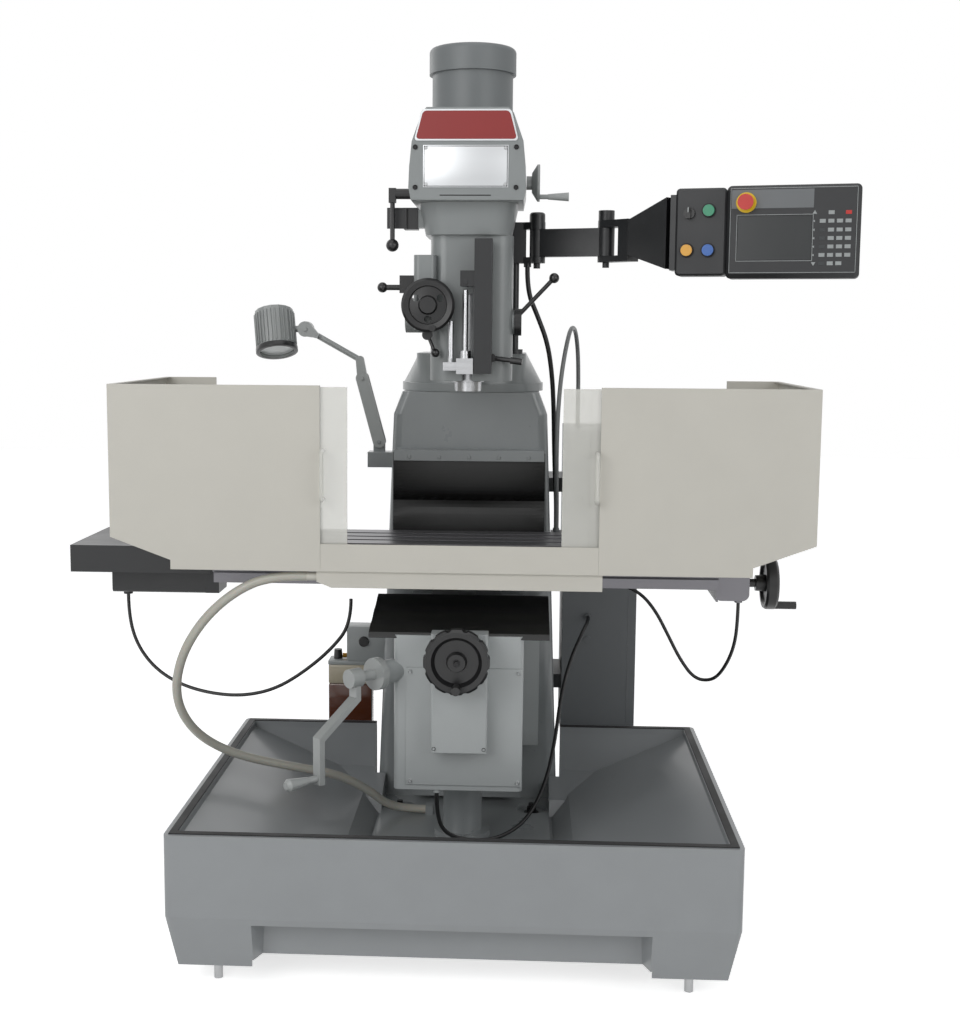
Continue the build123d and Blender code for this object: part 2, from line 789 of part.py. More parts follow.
def guard_shell(hand):
    """One guard, as a front panel, a side panel, a rear return and a sloped floor."""
    panel = [
        (hand * guard_inner, guard_top),
        (hand * guard_half, guard_top),
        (hand * guard_half, guard_edge_z),
        (hand * guard_floor_half, guard_floor_z),
        (hand * guard_floor_half, guard_bottom),
        (hand * guard_inner, guard_bottom),
    ]
    prism_along_y(panel, (guard_front, guard_front + sheet))
    rear = [
        (hand * return_inner, guard_top),
        (hand * guard_half, guard_top),
        (hand * guard_half, guard_edge_z),
        (hand * return_inner, guard_floor_z + 2),
    ]
    prism_along_y(rear, (guard_rear - sheet, guard_rear))
    wall = [
        (hand * guard_half, guard_edge_z - 2),
        (hand * (guard_half - sheet), guard_edge_z - 2),
        (hand * (guard_half - sheet), guard_top),
        (hand * guard_half, guard_top),
    ]
    prism_along_y(wall, (guard_front, guard_rear))
    floor_plate = [
        (hand * guard_half, guard_edge_z),
        (hand * guard_floor_half, guard_floor_z),
        (hand * table_half, guard_floor_z),
        (hand * table_half, guard_floor_z - sheet),
        (hand * guard_floor_half, guard_floor_z - sheet),
        (hand * guard_half, guard_edge_z - sheet - 1),
    ]
    prism_along_y(floor_plate, (guard_front, guard_rear))
    block(
        sorted((hand * guard_inner, hand * guard_half)),
        (guard_front, guard_front + 12),
        (guard_top - sheet, guard_top),
    )
    lip_x = sorted((hand * guard_half, hand * (guard_half - 14)))
    block(lip_x, (guard_front, guard_rear), (guard_top - sheet, guard_top))


with BuildPart() as guard_left:
    guard_shell(-1)
save(guard_left, "guard_left")

with BuildPart() as guard_right:
    guard_shell(1)
save(guard_right, "guard_right")

door_front = guard_front + 8


def door_handle(x, z0, z1):
    """A bent rod handle that stands off the door."""
    reach = 38
    root = door_front + 2
    with BuildLine() as path:
        FilletPolyline(
            (x, root, z0),
            (x, root - reach, z0),
            (x, root - reach, z1),
            (x, root, z1),
            radius=10,
        )
    with BuildSketch(Plane(origin=(x, root, z0), z_dir=(0, -1, 0))) as section:
        Circle(5)
    sweep(section.sketch, path=path.line)


handle_x = 313.0
handle_low = 1066.0
handle_high = 1178.0
strip_width = 61.0
with BuildPart() as door_left:
    door_edges = (door_left_edge - door_length, door_left_edge)
    block(door_edges, (door_front, door_front + door_thickness), (door_bottom, door_top))
    door_handle(-handle_x, handle_low, handle_high)
save(door_left, "door_left")

with BuildPart() as door_right:
    door_edges = (door_right_edge + 1, door_right_edge + door_length)
    block(door_edges, (door_front, door_front + door_thickness), (door_bottom, door_top))
    block((door_right_edge, door_right_edge + strip_width), (door_front - 2, door_front + 1), (door_bottom, door_top))
    block((door_right_edge, door_right_edge + 2), (door_front, door_front + door_thickness), (door_bottom, door_top))
    for z in (door_bottom + 20, door_bottom + 160, door_bottom + 330, door_bottom + 392):
        rod((door_right_edge + 40, door_front - 2, z), (0, -1, 0), 5, 2.5)
    door_handle(handle_x, handle_low, handle_high)
save(door_right, "door_right")

# Turret, ram and the nodding adapter that carries the head
with BuildPart() as turret:
    with BuildSketch(level(column_top + slide_gap)):
        with Locations((0, turret_y)):
            Circle(turret_radius)
    extrude(amount=turret_band)
    with BuildSketch(level(column_top + turret_band)):
        with Locations((0, turret_y)):
            Circle(turret_radius - 4)
    with BuildSketch(level(turret_top)):
        with Locations((0, turret_y)):
            RectangleRounded(2 * turret_top_half, 328, 40)
    loft()
    prism_along_y(
        mirrored([(ram_half + slide_gap, turret_top - 22), (ram_half - 14 + slide_gap, turret_top + 1)]),
        (turret_y - 230, turret_y + 230),
        Mode.SUBTRACT,
    )
save(turret, "turret")

with BuildPart() as ram:
    prism_along_y(
        mirrored([
            (ram_half - 0.2, turret_top - 22 + slide_gap),
            (ram_half - 14, turret_top + slide_gap),
            (ram_half, turret_top + 20),
            (ram_half, ram_top - 30),
            (ram_half - 30, ram_top),
        ]),
        (ram_front, ram_rear),
    )
    for x in (-ram_half, ram_half - 32):
        rod((x, nod_y, nod_z), (1, 0, 0), ear_radius, 32)
        block((x, x + 32), (nod_y, ram_front + 1), (nod_z - ear_radius, nod_z + ear_radius))
    rod((-ram_half + 32, nod_y, nod_z), (1, 0, 0), ear_radius + 2, 2 * (ram_half - 32), Mode.SUBTRACT)
    rod((-ram_half - 6, nod_y, nod_z), (1, 0, 0), nod_pin_radius, 2 * ram_half + 12)
    for x in (-ram_half - 12, ram_half - 1):
        rod((x, nod_y, nod_z), (1, 0, 0), 24, 13)
save(ram, "ram")

adapter_radius = 112.0
with BuildPart() as head_adapter:
    tongue = ram_half - 32 - slide_gap
    rod((-tongue, nod_y, nod_z), (1, 0, 0), ear_radius - 2, 2 * tongue)
    block((-tongue, tongue), (head_rear + 18, nod_y), (nod_z - ear_radius + 2, nod_z + ear_radius - 2))
    rod((0, head_rear + 20, tilt_z), (0, -1, 0), adapter_radius, 20)
    rod((-tongue - 1, nod_y, nod_z), (1, 0, 0), nod_pin_radius + running_gap, 2 * tongue + 2, Mode.SUBTRACT)
save(head_adapter, "head_adapter")

# Head: quill housing, feed gear case, collar and the belt housing above it
slot_half = 12.0
wing_bottom = 1455.0
with BuildPart() as head_casting:
    with BuildSketch(level(head_bottom)):
        with Locations(((head_left + head_right) / 2, (head_front + head_rear) / 2)):
            RectangleRounded(head_right - head_left, head_rear - head_front - slide_gap, 42)
    extrude(amount=head_top - head_bottom)
    rod((0, head_rear - slide_gap, tilt_z), (0, -1, 0), adapter_radius, 30)
    with BuildSketch(level(wing_bottom)):
        with Locations((head_left - 12, 232)):
            RectangleRounded(56, 130, 14)
    extrude(amount=185)
    rod((head_left, 240, 1491), (-1, 0, 0), 44, 64)
    with BuildSketch(level(head_top)):
        with Locations((0, 290)):
            RectangleRounded(216, 250, 60)
    with BuildSketch(level(housing_bottom)):
        with Locations((0, 300)):
            RectangleRounded(248, 300, 70)
    loft()
    rod((head_right - 2, 240, 1475), (1, 0, 0), 30, 6)
    block((-130, -90), (248, 288), (1712, 1758))
    rod((0, spindle_y, head_bottom - 1), (0, 0, 1), quill_radius + running_gap, 290, Mode.SUBTRACT)
    rod((0, spindle_y, head_bottom + 200), (0, 0, 1), 26, housing_bottom - head_bottom, Mode.SUBTRACT)
    block((-slot_half, slot_half), (head_front - 1, spindle_y), (head_bottom - 1, 1545), Mode.SUBTRACT)
    rod((quill_wheel_x, head_front - 30, quill_wheel_z), (0, 1, 0), 10 + running_gap, 80, Mode.SUBTRACT)
    rod((head_right + 10, 240, 1475), (-1, 0, 0), 12 + running_gap, 40, Mode.SUBTRACT)
save(head_casting, "head_casting")

with BuildPart() as quill:
    rod((0, spindle_y, head_bottom - 4), (0, 0, 1), quill_radius, 270)
    rod((0, spindle_y, head_bottom - 5), (0, 0, 1), 24 + running_gap, 272, Mode.SUBTRACT)
    block((-25, 17), (130, 166), (1345, 1384))
    block((-59, -24), (150, 166), (1353, 1374))
    block((-slot_half + 1, slot_half - 1), (165, spindle_y - quill_radius + 6), (1350, 1380))
    rod((-3, 148, 1383), (0, 0, 1), 14, 20)
    rod((-3, 148, 1402), (0, 0, 1), 6.5, 151)
    rod((-40, 158, 1373), (0, 0, 1), 7, 103)
save(quill, "quill")

with BuildPart() as quill_scale:
    block((19, 63), (118, 166), (1346, 1678))
    block((-16, 19), (124, 166), (1562, 1600))
    rod((-3, 148, 1550), (0, 0, 1), 6.5 + running_gap, 60, Mode.SUBTRACT)
    block((25, 57), (166, head_front), (1440, 1640))
    rod((-3, 124, 1572), (0, -1, 0), 6, 3)
save(quill_scale, "quill_scale")

taper_length = 24.0
with BuildPart() as spindle:
    rod((0, spindle_y, nose_bottom), (0, 0, 1), nose_radius, head_bottom - 4.3 - nose_bottom)
    rod((0, spindle_y, head_bottom - 5), (0, 0, 1), 24, 400)
    with Locations((0, spindle_y, nose_bottom)):
        Cone(15.9, collet_radius, taper_length, align=(Align.CENTER, Align.CENTER, Align.MIN), mode=Mode.SUBTRACT)
    rod((0, spindle_y, nose_bottom + taper_length - 0.01), (0, 0, 1), collet_radius, collet_length, Mode.SUBTRACT)
save(spindle, "spindle")


def housing_outline():
    """The belt housing's plan, square at the front and round behind the motor."""
    with Locations((0, (housing_front + motor_y) / 2)):
        Rectangle(2 * housing_half, motor_y - housing_front)
    with Locations((0, motor_y)):
        Circle(housing_half - 24)


def housing_profile():
    """The belt housing's front, narrowing towards its top."""
    return mirrored([
        (housing_half - 6, housing_bottom),
        (housing_half, housing_bottom + 30),
        (housing_half - 2, housing_bottom + 80),
        (housing_half - 8, housing_bottom + 140),
        (housing_half - 32, housing_top - 14),
        (housing_half - 44, housing_top),
    ])


with BuildPart() as belt_housing:
    with BuildSketch(level(housing_bottom)):
        housing_outline()
    extrude(amount=housing_top - housing_bottom)
    prism_along_y(housing_profile(), (housing_front - 1, 600), Mode.INTERSECT)
save(belt_housing, "belt_housing")

with BuildPart() as housing_plates:
    block((-108, 100), (housing_front - 2, housing_front), (1799, 1900))
    for x in (-101, 93):
        for z in (1806, 1893):
            rod((x, housing_front - 2, z), (0, -1, 0), 4.5, 2.5)
    with BuildSketch(front(housing_front)) as shape:
        Polygon((-130, 1910), (124, 1910), (106, 1985), (-112, 1985), align=None)
        fillet(shape.vertices(), 8)
    extrude(amount=4)
save(housing_plates, "housing_plates")

with BuildPart() as spindle_motor:
    with BuildSketch(level(housing_top)):
        with Locations((0, motor_y)):
            Circle(motor_radius)
    extrude(amount=motor_top - 67 - housing_top)
    block((-8, 16), (motor_y - motor_radius - 6, motor_y - motor_radius + 8), (housing_top, housing_top + 34))
    with BuildSketch(level(motor_top - 67)):
        with Locations((0, motor_y)):
            Circle(motor_cap_radius)
    extrude(amount=67)
    fillet(spindle_motor.faces().sort_by(Axis.Z)[-1].edges(), 12)
save(spindle_motor, "spindle_motor")

with BuildPart() as speed_crank:
    rod((housing_half + slide_gap, 230, 1822), (1, 0, 0), 17, 16)
    with Locations(Plane(origin=(housing_half + 14, 230, 1822), z_dir=(1, 0, 0))):
        Cone(24, 46, 14, align=(Align.CENTER, Align.CENTER, Align.MIN))
    rod((housing_half + 28, 230, 1822), (1, 0, 0), 46, 6)
    rod((housing_half + 33, 230, 1822 - 34), (1, 0, 0), 6, 24)
    with Locations(Plane(origin=(housing_half + 55, 230, 1822 - 34), z_dir=(1, 0, 0))):
        Cone(7, 11, 52, align=(Align.CENTER, Align.CENTER, Align.MIN))
save(speed_crank, "speed_crank")

with BuildPart() as quill_handwheel:
    with BuildSketch(side(quill_wheel_x)) as section:
        with BuildLine():
            Polyline(
                (147, quill_wheel_z),
                (147, quill_wheel_z + 22),
                (134, quill_wheel_z + 24),
                (134, quill_wheel_z + 46),
                (142, quill_wheel_z + 50),
                (142, quill_wheel_z + quill_wheel_radius - 4),
                (138, quill_wheel_z + quill_wheel_radius),
                (126, quill_wheel_z + quill_wheel_radius),
                (120, quill_wheel_z + quill_wheel_radius - 6),
                (122, quill_wheel_z + 48),
                (128, quill_wheel_z + 46),
                (126, quill_wheel_z + 24),
                (116, quill_wheel_z + 20),
                (116, quill_wheel_z),
                close=True,
            )
        make_face()
    revolve(axis=Axis((quill_wheel_x, 0, quill_wheel_z), (0, 1, 0)))
    for k in range(3):
        turn = radians(120 * k + 60)
        rod(
            (quill_wheel_x + 35 * sin(turn), 110, quill_wheel_z + 35 * cos(turn)),
            (0, 1, 0),
            9,
            40,
            Mode.SUBTRACT,
        )
    rod((quill_wheel_x, 146, quill_wheel_z), (0, 1, 0), 10, 60)
    rod((quill_wheel_x + 12, 121, quill_wheel_z - 57), (0, -1, 0), 8, 14)
save(quill_handwheel, "quill_handwheel")

with BuildPart() as feed_trip_lever:
    trip_z = wing_bottom - 13 - slide_gap
    rod((-100, head_front, trip_z), (0, -1, 0), 13, 18)
    rod((-98, head_front - 10, trip_z - 2), (0.38, -0.25, -0.89), 4.5, 46)
    with Locations((-79, head_front - 22, trip_z - 45)):
        Sphere(11)
save(feed_trip_lever, "feed_trip_lever")

with BuildPart() as quill_feed_handle:
    rod((head_right + 4 + slide_gap, 240, 1475), (1, 0, 0), 34, 18)
    rod((head_right - 26, 240, 1475), (1, 0, 0), 12, 40)
    rod((head_right + 18, 240, 1496), (0.68, 0.1, 0.72), 5.5, 126)
    with Locations((head_right + 104, 252.6, 1587)):
        Sphere(13)
save(quill_feed_handle, "quill_feed_handle")

with BuildPart() as quill_lock:
    rod((62, head_front - slide_gap, 1385), (0, -1, 0), 11, 16)
    rod((62, head_front - 9, 1385), (1, -0.15, -0.12), 6, 60)
    rod((110, head_front - 16.2, 1379.2), (1, -0.15, -0.12), 8.5, 30)
save(quill_lock, "quill_lock")

lever_wing_x = -135.0
with BuildPart() as brake_lever:
    rod((-housing_half - slide_gap, 200, 1792), (-1, 0, 0), 13, 40)
    block((-200, -182), (190, 210), (1770, 1806))
    rod((-191, 200, 1771), (0, 0, -1), 6, 100)
    with Locations((-191, 200, 1665)):
        Sphere(16)
save(brake_lever, "brake_lever")

with BuildPart() as feed_lever:
    block((-172, lever_wing_x - slide_gap - 0.1), (190, 212), (1546, 1590))
    rod((-171, 200, 1560), (-1, 0, 0), 7, 34)
    with Locations((-216, 200, 1560)):
        Sphere(13, rotation=(0, 0, 45))
save(feed_lever, "feed_lever")

with BuildPart() as drawbar_valve:
    block((-208, -158), (236, 244), (1709, 1761))
    rod((-183, 244, 1735), (0, 1, 0), 21, 40)
    block((-166, -130 - slide_gap), (246, 290), (1708, 1762))
save(drawbar_valve, "drawbar_valve")

# Pendant arm: post on the turret, two links on vertical pivots, and the pendant
with BuildPart() as pendant_post:
    rod((post_x, post_y, turret_top), (0, 0, 1), post_radius, 260)
    rod((post_x, post_y, turret_top), (0, 0, 1), 22, 12)
    block((post_x - 10, post_x + 28), (post_y - 24, post_y + 14), (1634, 1742))
    for z in ((1634, link_bottom - slide_gap), (link_top + slide_gap, 1742)):
        with BuildSketch(level(z[0])):
            with BuildLine():
                Polyline(
                    (post_x + 20, post_y - 24),
                    (pivot_1[0], pivot_1[1] - 22),
                    (pivot_1[0], pivot_1[1] + 22),
                    (post_x + 20, post_y + 14),
                    close=True,
                )
            make_face()
            with Locations(pivot_1):
                Circle(22)
        extrude(amount=z[1] - z[0])
    rod((*pivot_1, 1620), (0, 0, 1), pivot_radius, 135)
    rod((*pivot_1, 1742), (0, 0, 1), 21, 26)
    fillet(pendant_post.faces().sort_by(Axis.Z)[-1].edges(), 8)
    rod((150, 468, 1635), (0, 0, -1), 10, 11)
save(pendant_post, "pendant_post")


def link_outline(start, end, start_radius, end_radius):
    """A straight link between two ends, of two widths."""
    a = Vector(*start)
    b = Vector(*end)
    reach = (b - a).normalized()
    across = Vector(-reach.Y, reach.X)
    corners = (
        a + across * start_radius,
        b + across * end_radius,
        b - across * end_radius,
        a - across * start_radius,
    )
    Polygon(*[(c.X, c.Y) for c in corners], align=None)


with BuildPart() as arm_link:
    with BuildSketch(level(link_bottom)):
        link_outline(pivot_1, pivot_2, 16, 16)
        with Locations(pivot_1):
            Circle(20)
        with Locations(pivot_2):
            Circle(22)
    extrude(amount=link_top - link_bottom)
    rod((*pivot_1, link_bottom - 1), (0, 0, 1), pivot_radius + running_gap, 80, Mode.SUBTRACT)
    rod((*pivot_2, link_bottom - 1), (0, 0, 1), pivot_radius + running_gap, 80, Mode.SUBTRACT)
save(arm_link, "arm_link")

along = Vector(cos(radians(pendant_turn)), sin(radians(pendant_turn)), 0)
outward = Vector(sin(radians(pendant_turn)), -cos(radians(pendant_turn)), 0)


def on_pendant(across, height, proud=0):
    """A point on the pendant's face, measured along it from its left edge."""
    spot = Vector(pendant_left[0], pendant_left[1], height) + along * across + outward * proud
    return (spot.X, spot.Y, spot.Z)


def face_plane(proud):
    return Plane(origin=on_pendant(0, 0, proud), x_dir=along, z_dir=outward)


box_depth = 78.0
plate_at = Vector(*on_pendant(-4, 0, -box_depth / 2))
with BuildPart() as arm_bracket:
    for z in ((1634, link_bottom - slide_gap), (link_top + slide_gap, 1742)):
        with BuildSketch(level(z[0])):
            link_outline(pivot_2, (420, 338), 22, 22)
            with Locations(pivot_2):
                Circle(22)
        extrude(amount=z[1] - z[0])
    with BuildSketch(level(1634)):
        link_outline((398, 359), (422, 336), 22, 22)
    extrude(amount=108)
    with BuildSketch(Plane(origin=(418, 340, 1694), z_dir=(0.57, -0.82, 0), x_dir=(0, 0, 1))):
        Rectangle(84, 40)
    with BuildSketch(Plane(origin=(plate_at.X - 8, plate_at.Y + 6, 1697), z_dir=(0.8, -0.6, 0), x_dir=(0, 0, 1))):
        Rectangle(176, 60)
    loft()
    with BuildSketch(Plane(origin=on_pendant(0, 1697, -box_depth / 2), x_dir=outward, z_dir=along)):
        Rectangle(box_depth - 8, 184)
    extrude(amount=-14)
    rod((*pivot_2, 1620), (0, 0, 1), pivot_radius, 135)
    rod((*pivot_2, 1742), (0, 0, 1), 21, 26)
save(arm_bracket, "arm_bracket")

green_at = (81.0, 1749.0)
amber_at = (29.0, 1653.0)
blue_at = (81.0, 1653.0)
selector_at = (33.0, 1743.0)
button_radius = 14.0
display_left = button_box_width
stop_at = (display_left + 47, 1766.0)
screen_left = display_left + 27
screen_bottom = 1627.0
screen_width = 178.0
screen_height = 108.0
with BuildPart() as display:
    with BuildSketch(face_plane(-display_depth)) as shape:
        with Locations((display_left + display_width / 2, (display_bottom + display_top) / 2)):
            RectangleRounded(display_width, display_top - display_bottom, 12)
    extrude(amount=display_depth + 4)
    chamfer(display.faces().sort_by(Axis((0, 0, 0), outward))[-1].edges(), 11)
    with BuildSketch(face_plane(4)):
        with Locations((screen_left + screen_width / 2, screen_bottom + screen_height / 2)):
            Rectangle(screen_width, screen_height)
    extrude(amount=-2, mode=Mode.SUBTRACT)
    rod(on_pendant(*stop_at, 3), outward, 23, 6)
    rod(on_pendant(*stop_at, 10), -outward, 10 + slide_gap, 30, Mode.SUBTRACT)

with BuildPart() as pendant_case:
    with BuildSketch(face_plane(-box_depth)) as shape:
        with Locations((button_box_width / 2, (button_box_bottom + button_box_top) / 2)):
            RectangleRounded(button_box_width, button_box_top - button_box_bottom, 10)
    extrude(amount=box_depth)
    chamfer(pendant_case.faces().sort_by(Axis((0, 0, 0), outward))[-1].edges(), 5)
    add(display.part)
    for across, height in (green_at, amber_at, blue_at, selector_at):
        rod(on_pendant(across, height, 1), -outward, button_radius - 3 + slide_gap, 21, Mode.SUBTRACT)
save(pendant_case, "pendant_case")


def push_button(across, height):
    """A round cap on a stem that slides in its hole."""
    rod(on_pendant(across, height, 4.5), outward, button_radius, 7)
    rod(on_pendant(across, height, -12), outward, button_radius - 3, 17)


with BuildPart() as button_green:
    push_button(*green_at)
save(button_green, "button_green")

with BuildPart() as button_amber:
    push_button(*amber_at)
save(button_amber, "button_amber")

with BuildPart() as button_blue:
    push_button(*blue_at)
save(button_blue, "button_blue")

with BuildPart() as selector_knob:
    rod(on_pendant(*selector_at, slide_gap), outward, button_radius, 8)
    rod(on_pendant(*selector_at, -12), outward, button_radius - 3, 17)
    with BuildSketch(face_plane(8)):
        with Locations(selector_at):
            Rectangle(9, 26)
    extrude(amount=9)
save(selector_knob, "selector_knob")

with BuildPart() as emergency_stop:
    with Locations(Plane(origin=on_pendant(*stop_at, 17), z_dir=outward)):
        Cone(14, 19, 9, align=(Align.CENTER, Align.CENTER, Align.MIN))
    rod(on_pendant(*stop_at, 26), outward, 19, 6)
    rod(on_pendant(*stop_at, -10), outward, 10, 28)
save(emergency_stop, "emergency_stop")

# Work lamp on the column's left side
def flat_arm(start, end, half_start, half_end, y, thick):
    """A flat link in an X-Z plane, from y to y + thick."""
    with BuildSketch(front(y + thick)) as outline:
        link_outline(start, end, half_start, half_end)
        with Locations(start):
            Circle(half_start)
        with Locations(end):
            Circle(half_end)
    extrude(outline.sketch, amount=thick)


with BuildPart() as lamp_arm:
    for y in (lamp_y - 16.3, lamp_y + 8.3):
        flat_arm(lamp_base, lamp_elbow, 17, 17, y, 8)
    rod((lamp_elbow[0], lamp_y - 22, lamp_elbow[1]), (0, 1, 0), 5, 44)
    for y in (lamp_y - 17, lamp_y + 8):
        rod((lamp_base[0], y, lamp_base[1]), (0, 1, 0), 5 + running_gap, 9, Mode.SUBTRACT)
    spacer = Vector((lamp_base[0] + lamp_elbow[0]) / 2, 0, (lamp_base[1] + lamp_elbow[1]) / 2)
    block((spacer.X - 9, spacer.X + 9), (lamp_y - 9, lamp_y + 9), (spacer.Z - 20, spacer.Z + 20))
save(lamp_arm, "lamp_arm")

lamp_bend = (-307.0, 1372.0)
with BuildPart() as lamp_tube:
    flat_arm(lamp_elbow, lamp_bend, 14, 11, lamp_y - 8, 16)
    reach = Vector(lamp_knuckle[0] - lamp_bend[0], 0, lamp_knuckle[1] - lamp_bend[1])
    rod((lamp_bend[0], lamp_y, lamp_bend[1]), reach, 8, reach.length - 24)
    lug = Vector(lamp_knuckle[0], 0, lamp_knuckle[1]) - reach.normalized() * 34
    flat_arm((lug.X, lug.Z), lamp_knuckle, 8, 21, lamp_y - 20, 18)
    rod((lamp_elbow[0], lamp_y - 9, lamp_elbow[1]), (0, 1, 0), 5 + running_gap, 18, Mode.SUBTRACT)
    rod((lamp_knuckle[0], lamp_y - 21, lamp_knuckle[1]), (0, 1, 0), 6 + running_gap, 20, Mode.SUBTRACT)
save(lamp_tube, "lamp_tube")

lamp_axis = Vector(0.13, -0.35, -0.93).normalized()
lamp_middle = Vector(lamp_centre[0], lamp_y, lamp_centre[1])
lamp_top = lamp_middle - lamp_axis * (lamp_length / 2)
lamp_lens = 12.0
with BuildPart() as lamp_head:
    with BuildSketch(Plane(origin=lamp_top, z_dir=lamp_axis)):
        RegularPolygon(lamp_radius, 16)
    extrude(amount=lamp_length)
    rod(lamp_top + lamp_axis * (lamp_length - lamp_lens), lamp_axis, lamp_radius - 6, lamp_length, Mode.SUBTRACT)
    rod((lamp_knuckle[0], lamp_y - 1.7, lamp_knuckle[1]), (0, 1, 0), 21, 18)
    rod((lamp_knuckle[0], lamp_y - 24, lamp_knuckle[1]), (0, 1, 0), 6, 24)
    rod((lamp_knuckle[0] - 16, lamp_y + 8, lamp_knuckle[1]), (-1, -0.1, 0), 9, 24)
save(lamp_head, "lamp_head")

# Electrical cabinet on the column's right, and the lubricator on its left
column_side_gap = cabinet_left - column_half
with BuildPart() as cabinet:
    block((cabinet_left, cabinet_right - cabinet_door), (cabinet_front, cabinet_rear), (cabinet_bottom, cabinet_top))
    block(
        (cabinet_left + sheet, cabinet_right),
        (cabinet_front + sheet, cabinet_rear - sheet),
        (cabinet_bottom + sheet, cabinet_top - sheet),
        Mode.SUBTRACT,
    )
    for z in (430, 1000):
        block((column_foot_half - 40, cabinet_left + 1), (cabinet_front + 60, cabinet_rear - 60), (z, z + 40))
    for z in range(400, 1060, 210):
        block((cabinet_left + 1, cabinet_left + 120), (cabinet_front + 50, cabinet_rear - 50), (z, z + 150))
    add(column.part, mode=Mode.SUBTRACT)
    block((226, cabinet_left + 1), (530, 630), (860, 890))
    rod((241, 545, 889), (0, 0, 1), 9, 9)
    rod((241, 606, 889), (0, 0, 1), 9, 9)
    rod((300, 680, cabinet_top - 1), (0, 0, 1), 10, 11)
    rod((334, cabinet_front + 1, 652), (0, -1, 0), 10, 11)
    rod((334, cabinet_front + 1, 586), (0, -1, 0), 10, 5)
save(cabinet, "cabinet")

hinge_y = cabinet_rear - 6
with BuildPart() as cabinet_lid:
    block(
        (cabinet_right - cabinet_door + slide_gap, cabinet_right),
        (cabinet_front, cabinet_rear),
        (cabinet_bottom, cabinet_top),
    )
    block(
        (cabinet_right - cabinet_door - 1, cabinet_right - sheet),
        (cabinet_front + sheet, cabinet_rear - sheet),
        (cabinet_bottom + sheet, cabinet_top - sheet),
        Mode.SUBTRACT,
    )
save(cabinet_lid, "cabinet_lid")

lube_bottom = 517.0
column_slope = (column_foot_half - column_half) / (921 - base_top + 2)
lube_right = -(column_foot_half - column_slope * (lube_bottom - base_top + 2) + slide_gap)
with BuildPart() as lubricator:
    block((-349, lube_right), (530, 600), (lube_bottom, lube_bottom + 100))
    rod((-300, 530, 564), (0, -1, 0), 12, 10)
    with BuildSketch(level(325)):
        with Locations((-340, 565)):
            RectangleRounded(126, 68, 14)
    extrude(amount=192)
    rod((-378, 565, 516), (0, 0, 1), 14, 29)
save(lubricator, "lubricator")


# Free cords, each a tube on straight runs joined by arcs as wide as the runs allow
def cord(points, diameter, label):
    runs = [Vector(*b) - Vector(*a) for a, b in zip(points, points[1:])]
    radii = []
    for before, after in zip(runs, runs[1:]):
        half_turn = radians(before.get_angle(after)) / 2
        radii.append(0.45 * min(before.length, after.length) / tan(half_turn))
    print(label, [round(radius) for radius in radii])
    with BuildLine() as path:
        FilletPolyline(*points, radius=radii)
    with BuildSketch(Plane(origin=points[0], z_dir=runs[0])) as section:
        Circle(diameter / 2)
    sweep(section.sketch, path=path.line)
    print(label, "length", round(sum(edge.length for edge in path.line.edges())))


motor_cable_route = [
    (-886, 207, 763),
    (-886, 207, 700),
    (-862, 198, 625),
    (-812, 188, 565),
    (-742, 176, 527),
    (-660, 166, 508),
    (-575, 156, 506),
    (-492, 146, 527),
    (-418, 136, 573),
    (-340, 122, 640),
    (-287, 112, 710),
    (-287, 112, 775),
]
with BuildPart() as motor_cable:
    cord(motor_cable_route, 9, "motor_cable")
save(motor_cable, "motor_cable")

table_cable_route = [
    (699, 190, 768),
    (699, 190, 700),
    (692, 215, 632),
    (672, 255, 570),
    (648, 280, 540),
    (606, 300, 540),
    (568, 318, 590),
    (535, 332, 655),
    (503, 340, 715),
    (462, 345, 762),
    (400, 347, 788),
    (345, 340, 797),
    (291, 340, 797),
]
with BuildPart() as table_cable:
    cord(table_cable_route, 9, "table_cable")
save(table_cable, "table_cable")

knee_cable_route = [
    (-50, -169, 365),
    (-50, -169, 300),
    (-25, -120, 240),
    (40, -50, 203),
    (105, 20, 190),
    (168, 95, 212),
    (214, 190, 275),
    (240, 285, 365),
    (256, 372, 470),
    (282, 420, 560),
    (316, 462, 628),
    (334, 510, 652),
    (334, 550, 652),
]
with BuildPart() as knee_cable:
    cord(knee_cable_route, 10, "knee_cable")
save(knee_cable, "knee_cable")

drain_hose_route = [
    (-354, -190, 883),
    (-440, -190, 883),
    (-530, -196, 842),
    (-610, -190, 765),
    (-665, -170, 668),
    (-684, -128, 560),
    (-650, -62, 462),
    (-570, 10, 392),
    (-450, 80, 345),
    (-330, 150, 305),
    (-255, 205, 248),
    (-214, 245, 198),
    (-165, 280, 171.5),
    (-105, 280, 171.5),
]
with BuildPart() as drain_hose:
    cord(drain_hose_route, 22, "drain_hose")
save(drain_hose, "drain_hose")

pendant_cable_route = [
    (150, 468, 1624),
    (150, 468, 1560),
    (180, 471, 1492),
    (208, 480, 1420),
    (222, 502, 1330),
    (228, 528, 1235),
    (231, 553, 1140),
    (235, 578, 1050),
    (241, 606, 972),
    (241, 606, 898),
]
with BuildPart() as pendant_cable:
    cord(pendant_cable_route, 13, "pendant_cable")
save(pendant_cable, "pendant_cable")

head_conduit_route = [
    (241, 545, 898),
    (241, 545, 965),
    (238, 512, 1045),
    (237, 502, 1140),
    (239, 500, 1235),
    (246, 503, 1330),
    (258, 518, 1408),
    (272, 566, 1464),
    (287, 634, 1462),
    (297, 676, 1402),
    (300, 684, 1322),
    (300, 680, 1254),
    (300, 680, 1190),
]
with BuildPart() as head_conduit:
    cord(head_conduit_route, 12, "head_conduit")
save(head_conduit, "head_conduit")
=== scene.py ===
"""Knee-type milling machine: finishes, cables and small fittings on its CAD frame.

Also makes the stage, the lights and the camera.
"""

from math import cos, pi, radians, sin

